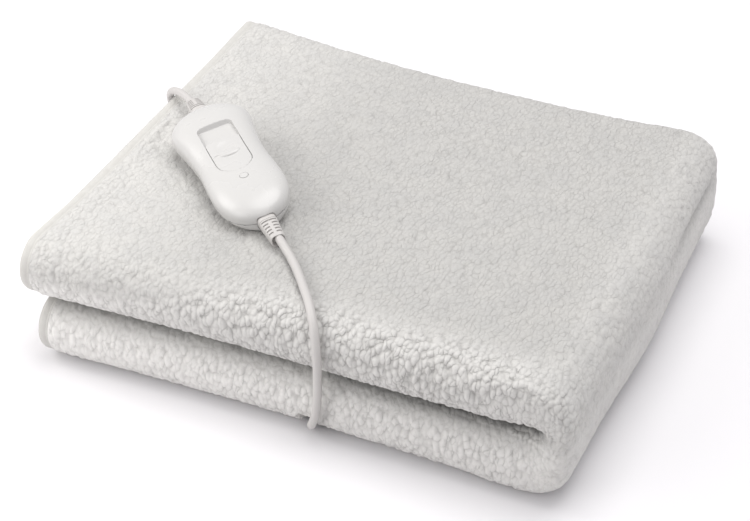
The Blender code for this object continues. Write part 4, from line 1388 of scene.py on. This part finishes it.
def makeHandset():
    pockets = [reliefPocket(kind) for kind in ("lead", "mains")]
    well = recessPrism("well", recess["start"], 0.0, recess["floor"], recess["top"], recess["ramp"])
    lampHole = roundRod("lampHole", lamp["radius"] + recess["gap"], lamp["bottom"] - recess["gap"],
                        lamp["top"] + 0.01, lamp["place"])
    top, base = shellSolid("shellTop"), shellSolid("shellBase")
    keepSide(top, shellForm["parting"] + shellForm["partingGap"] / 2, True)
    keepSide(base, shellForm["parting"] - shellForm["partingGap"] / 2, False)
    cut(base, "DIFFERENCE", *pockets)
    cut(top, "DIFFERENCE", *pockets, well, lampHole)
    skin = shellSolid("skin", recess["sliderDrop"])
    slider, (dish, ridge, notch) = makeSlider(skin)
    for piece in (top, base, slider):
        tidyCuts(piece)
        softenRims(piece, shellForm["rim"])
    cut(slider, "DIFFERENCE", dish)
    cut(slider, "UNION", ridge)
    cut(slider, "DIFFERENCE", notch)
    lens = roundRod("lampLens", lamp["radius"] + recess["gap"] / 2, lamp["bottom"], lamp["top"],
                    lamp["place"])
    softenRims(lens, lamp["edge"], 3)
    for piece in (top, base, slider, lens):
        shadeSmooth(piece, 30)
        piece.modifiers.new("evenShading", "WEIGHTED_NORMAL").keep_sharp = True
        applyModifiers(piece)
    for cutter in (*pockets, well, lampHole, skin, dish, ridge, notch):
        bpy.data.objects.remove(cutter, do_unlink=True)
    return top, base, slider, lens


shellTop, shellBase, switchSlider, lampLens = (onHandset(piece) for piece in makeHandset())
dress(lampLens, lampMilk, "blanket", "lamp_lens", "lamp_lens")
dress(shellTop, shellPlastic, "blanket", "white_shell", "controller_top")
dress(shellBase, shellPlastic, "blanket", "white_shell", "controller_base")
dress(switchSlider, shellPlastic, "slider", "white_shell", "switch_slider")
print("handset shells and switch are moulded")


def makeRelief(kind, turned):
    # a tapered sleeve, slotted on top between a middle rib and two rails, its end open round the flex
    values, edge = relief[kind], relief["edge"]
    form = values["form"]
    end = form[-1][0]
    stations = [(0.0, relief["neck"], False), (0.0004, 1.0, False)]   # along, share left, slotted
    if "groove" in values:
        stations += [(values["groove"] + past, keep, False) for past, keep in zip(
            (0.0, 0.0002, 0.0005, 0.0007), (1.0, relief["neck"], relief["neck"], 1.0))]
    for i in range(values["slots"]):
        start = values["slotFrom"] + i * values["slotPitch"]
        stop = start + values["slotWidth"]
        stations += [(start, 1.0, False), (start + edge, 1.0, True),
                     (stop - edge, 1.0, True), (stop, 1.0, False)]
    stations += [(end - before, keep, False) for before, keep in relief["lip"]]
    inside = end - values["mouth"]
    stations.append((inside, relief["bore"] / tableValue(form, inside)[0], False))

    def place(ring, angle):
        along, keep, slotted = stations[ring]
        halfWidth, halfHeight, centre = tableValue(form, along)
        y = halfWidth * keep * signedPower(math.cos(angle), relief["squareness"])
        z = halfHeight * keep * signedPower(math.sin(angle), relief["squareness"])
        if slotted and z > 0 and relief["spine"] < abs(y) < relief["rail"] * halfWidth:
            z -= relief["slotDepth"]
        return (turned * along + values["root"], y, centre + z)

    piece = extrudedTube(kind + "Relief", relief["sides"], len(stations), place)
    shadeSmooth(piece, 40)
    return onHandset(piece)


dress(makeRelief("mains", 1), flexRubber, "blanket", "pale_flex", "mains_relief")
dress(makeRelief("lead", -1), flexRubber, "blanket", "pale_flex", "lead_relief")
print("strain reliefs are on")


# remaining CAD nodes keep their shape

finishes = {
    "lead_entry": flexRubber, "plug_body": flexRubber,
    "coil_tie_left": tiePlastic, "coil_tie_right": tiePlastic,
    "plug_pin_left": pinMetal, "plug_pin_right": pinMetal,
}
for name, material in finishes.items():
    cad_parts[name].data.materials.clear()
    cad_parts[name].data.materials.append(material)

dress(leadFlex, flexRubber, "blanket", "pale_flex", "lead_cord")
dress(mainsFlex, flexRubber, "blanket", "pale_flex", "mains_cord", "cord_coil", "plug_cord")
inWorld(flex["lead"][0])
inWorld(flex["mains"][0])
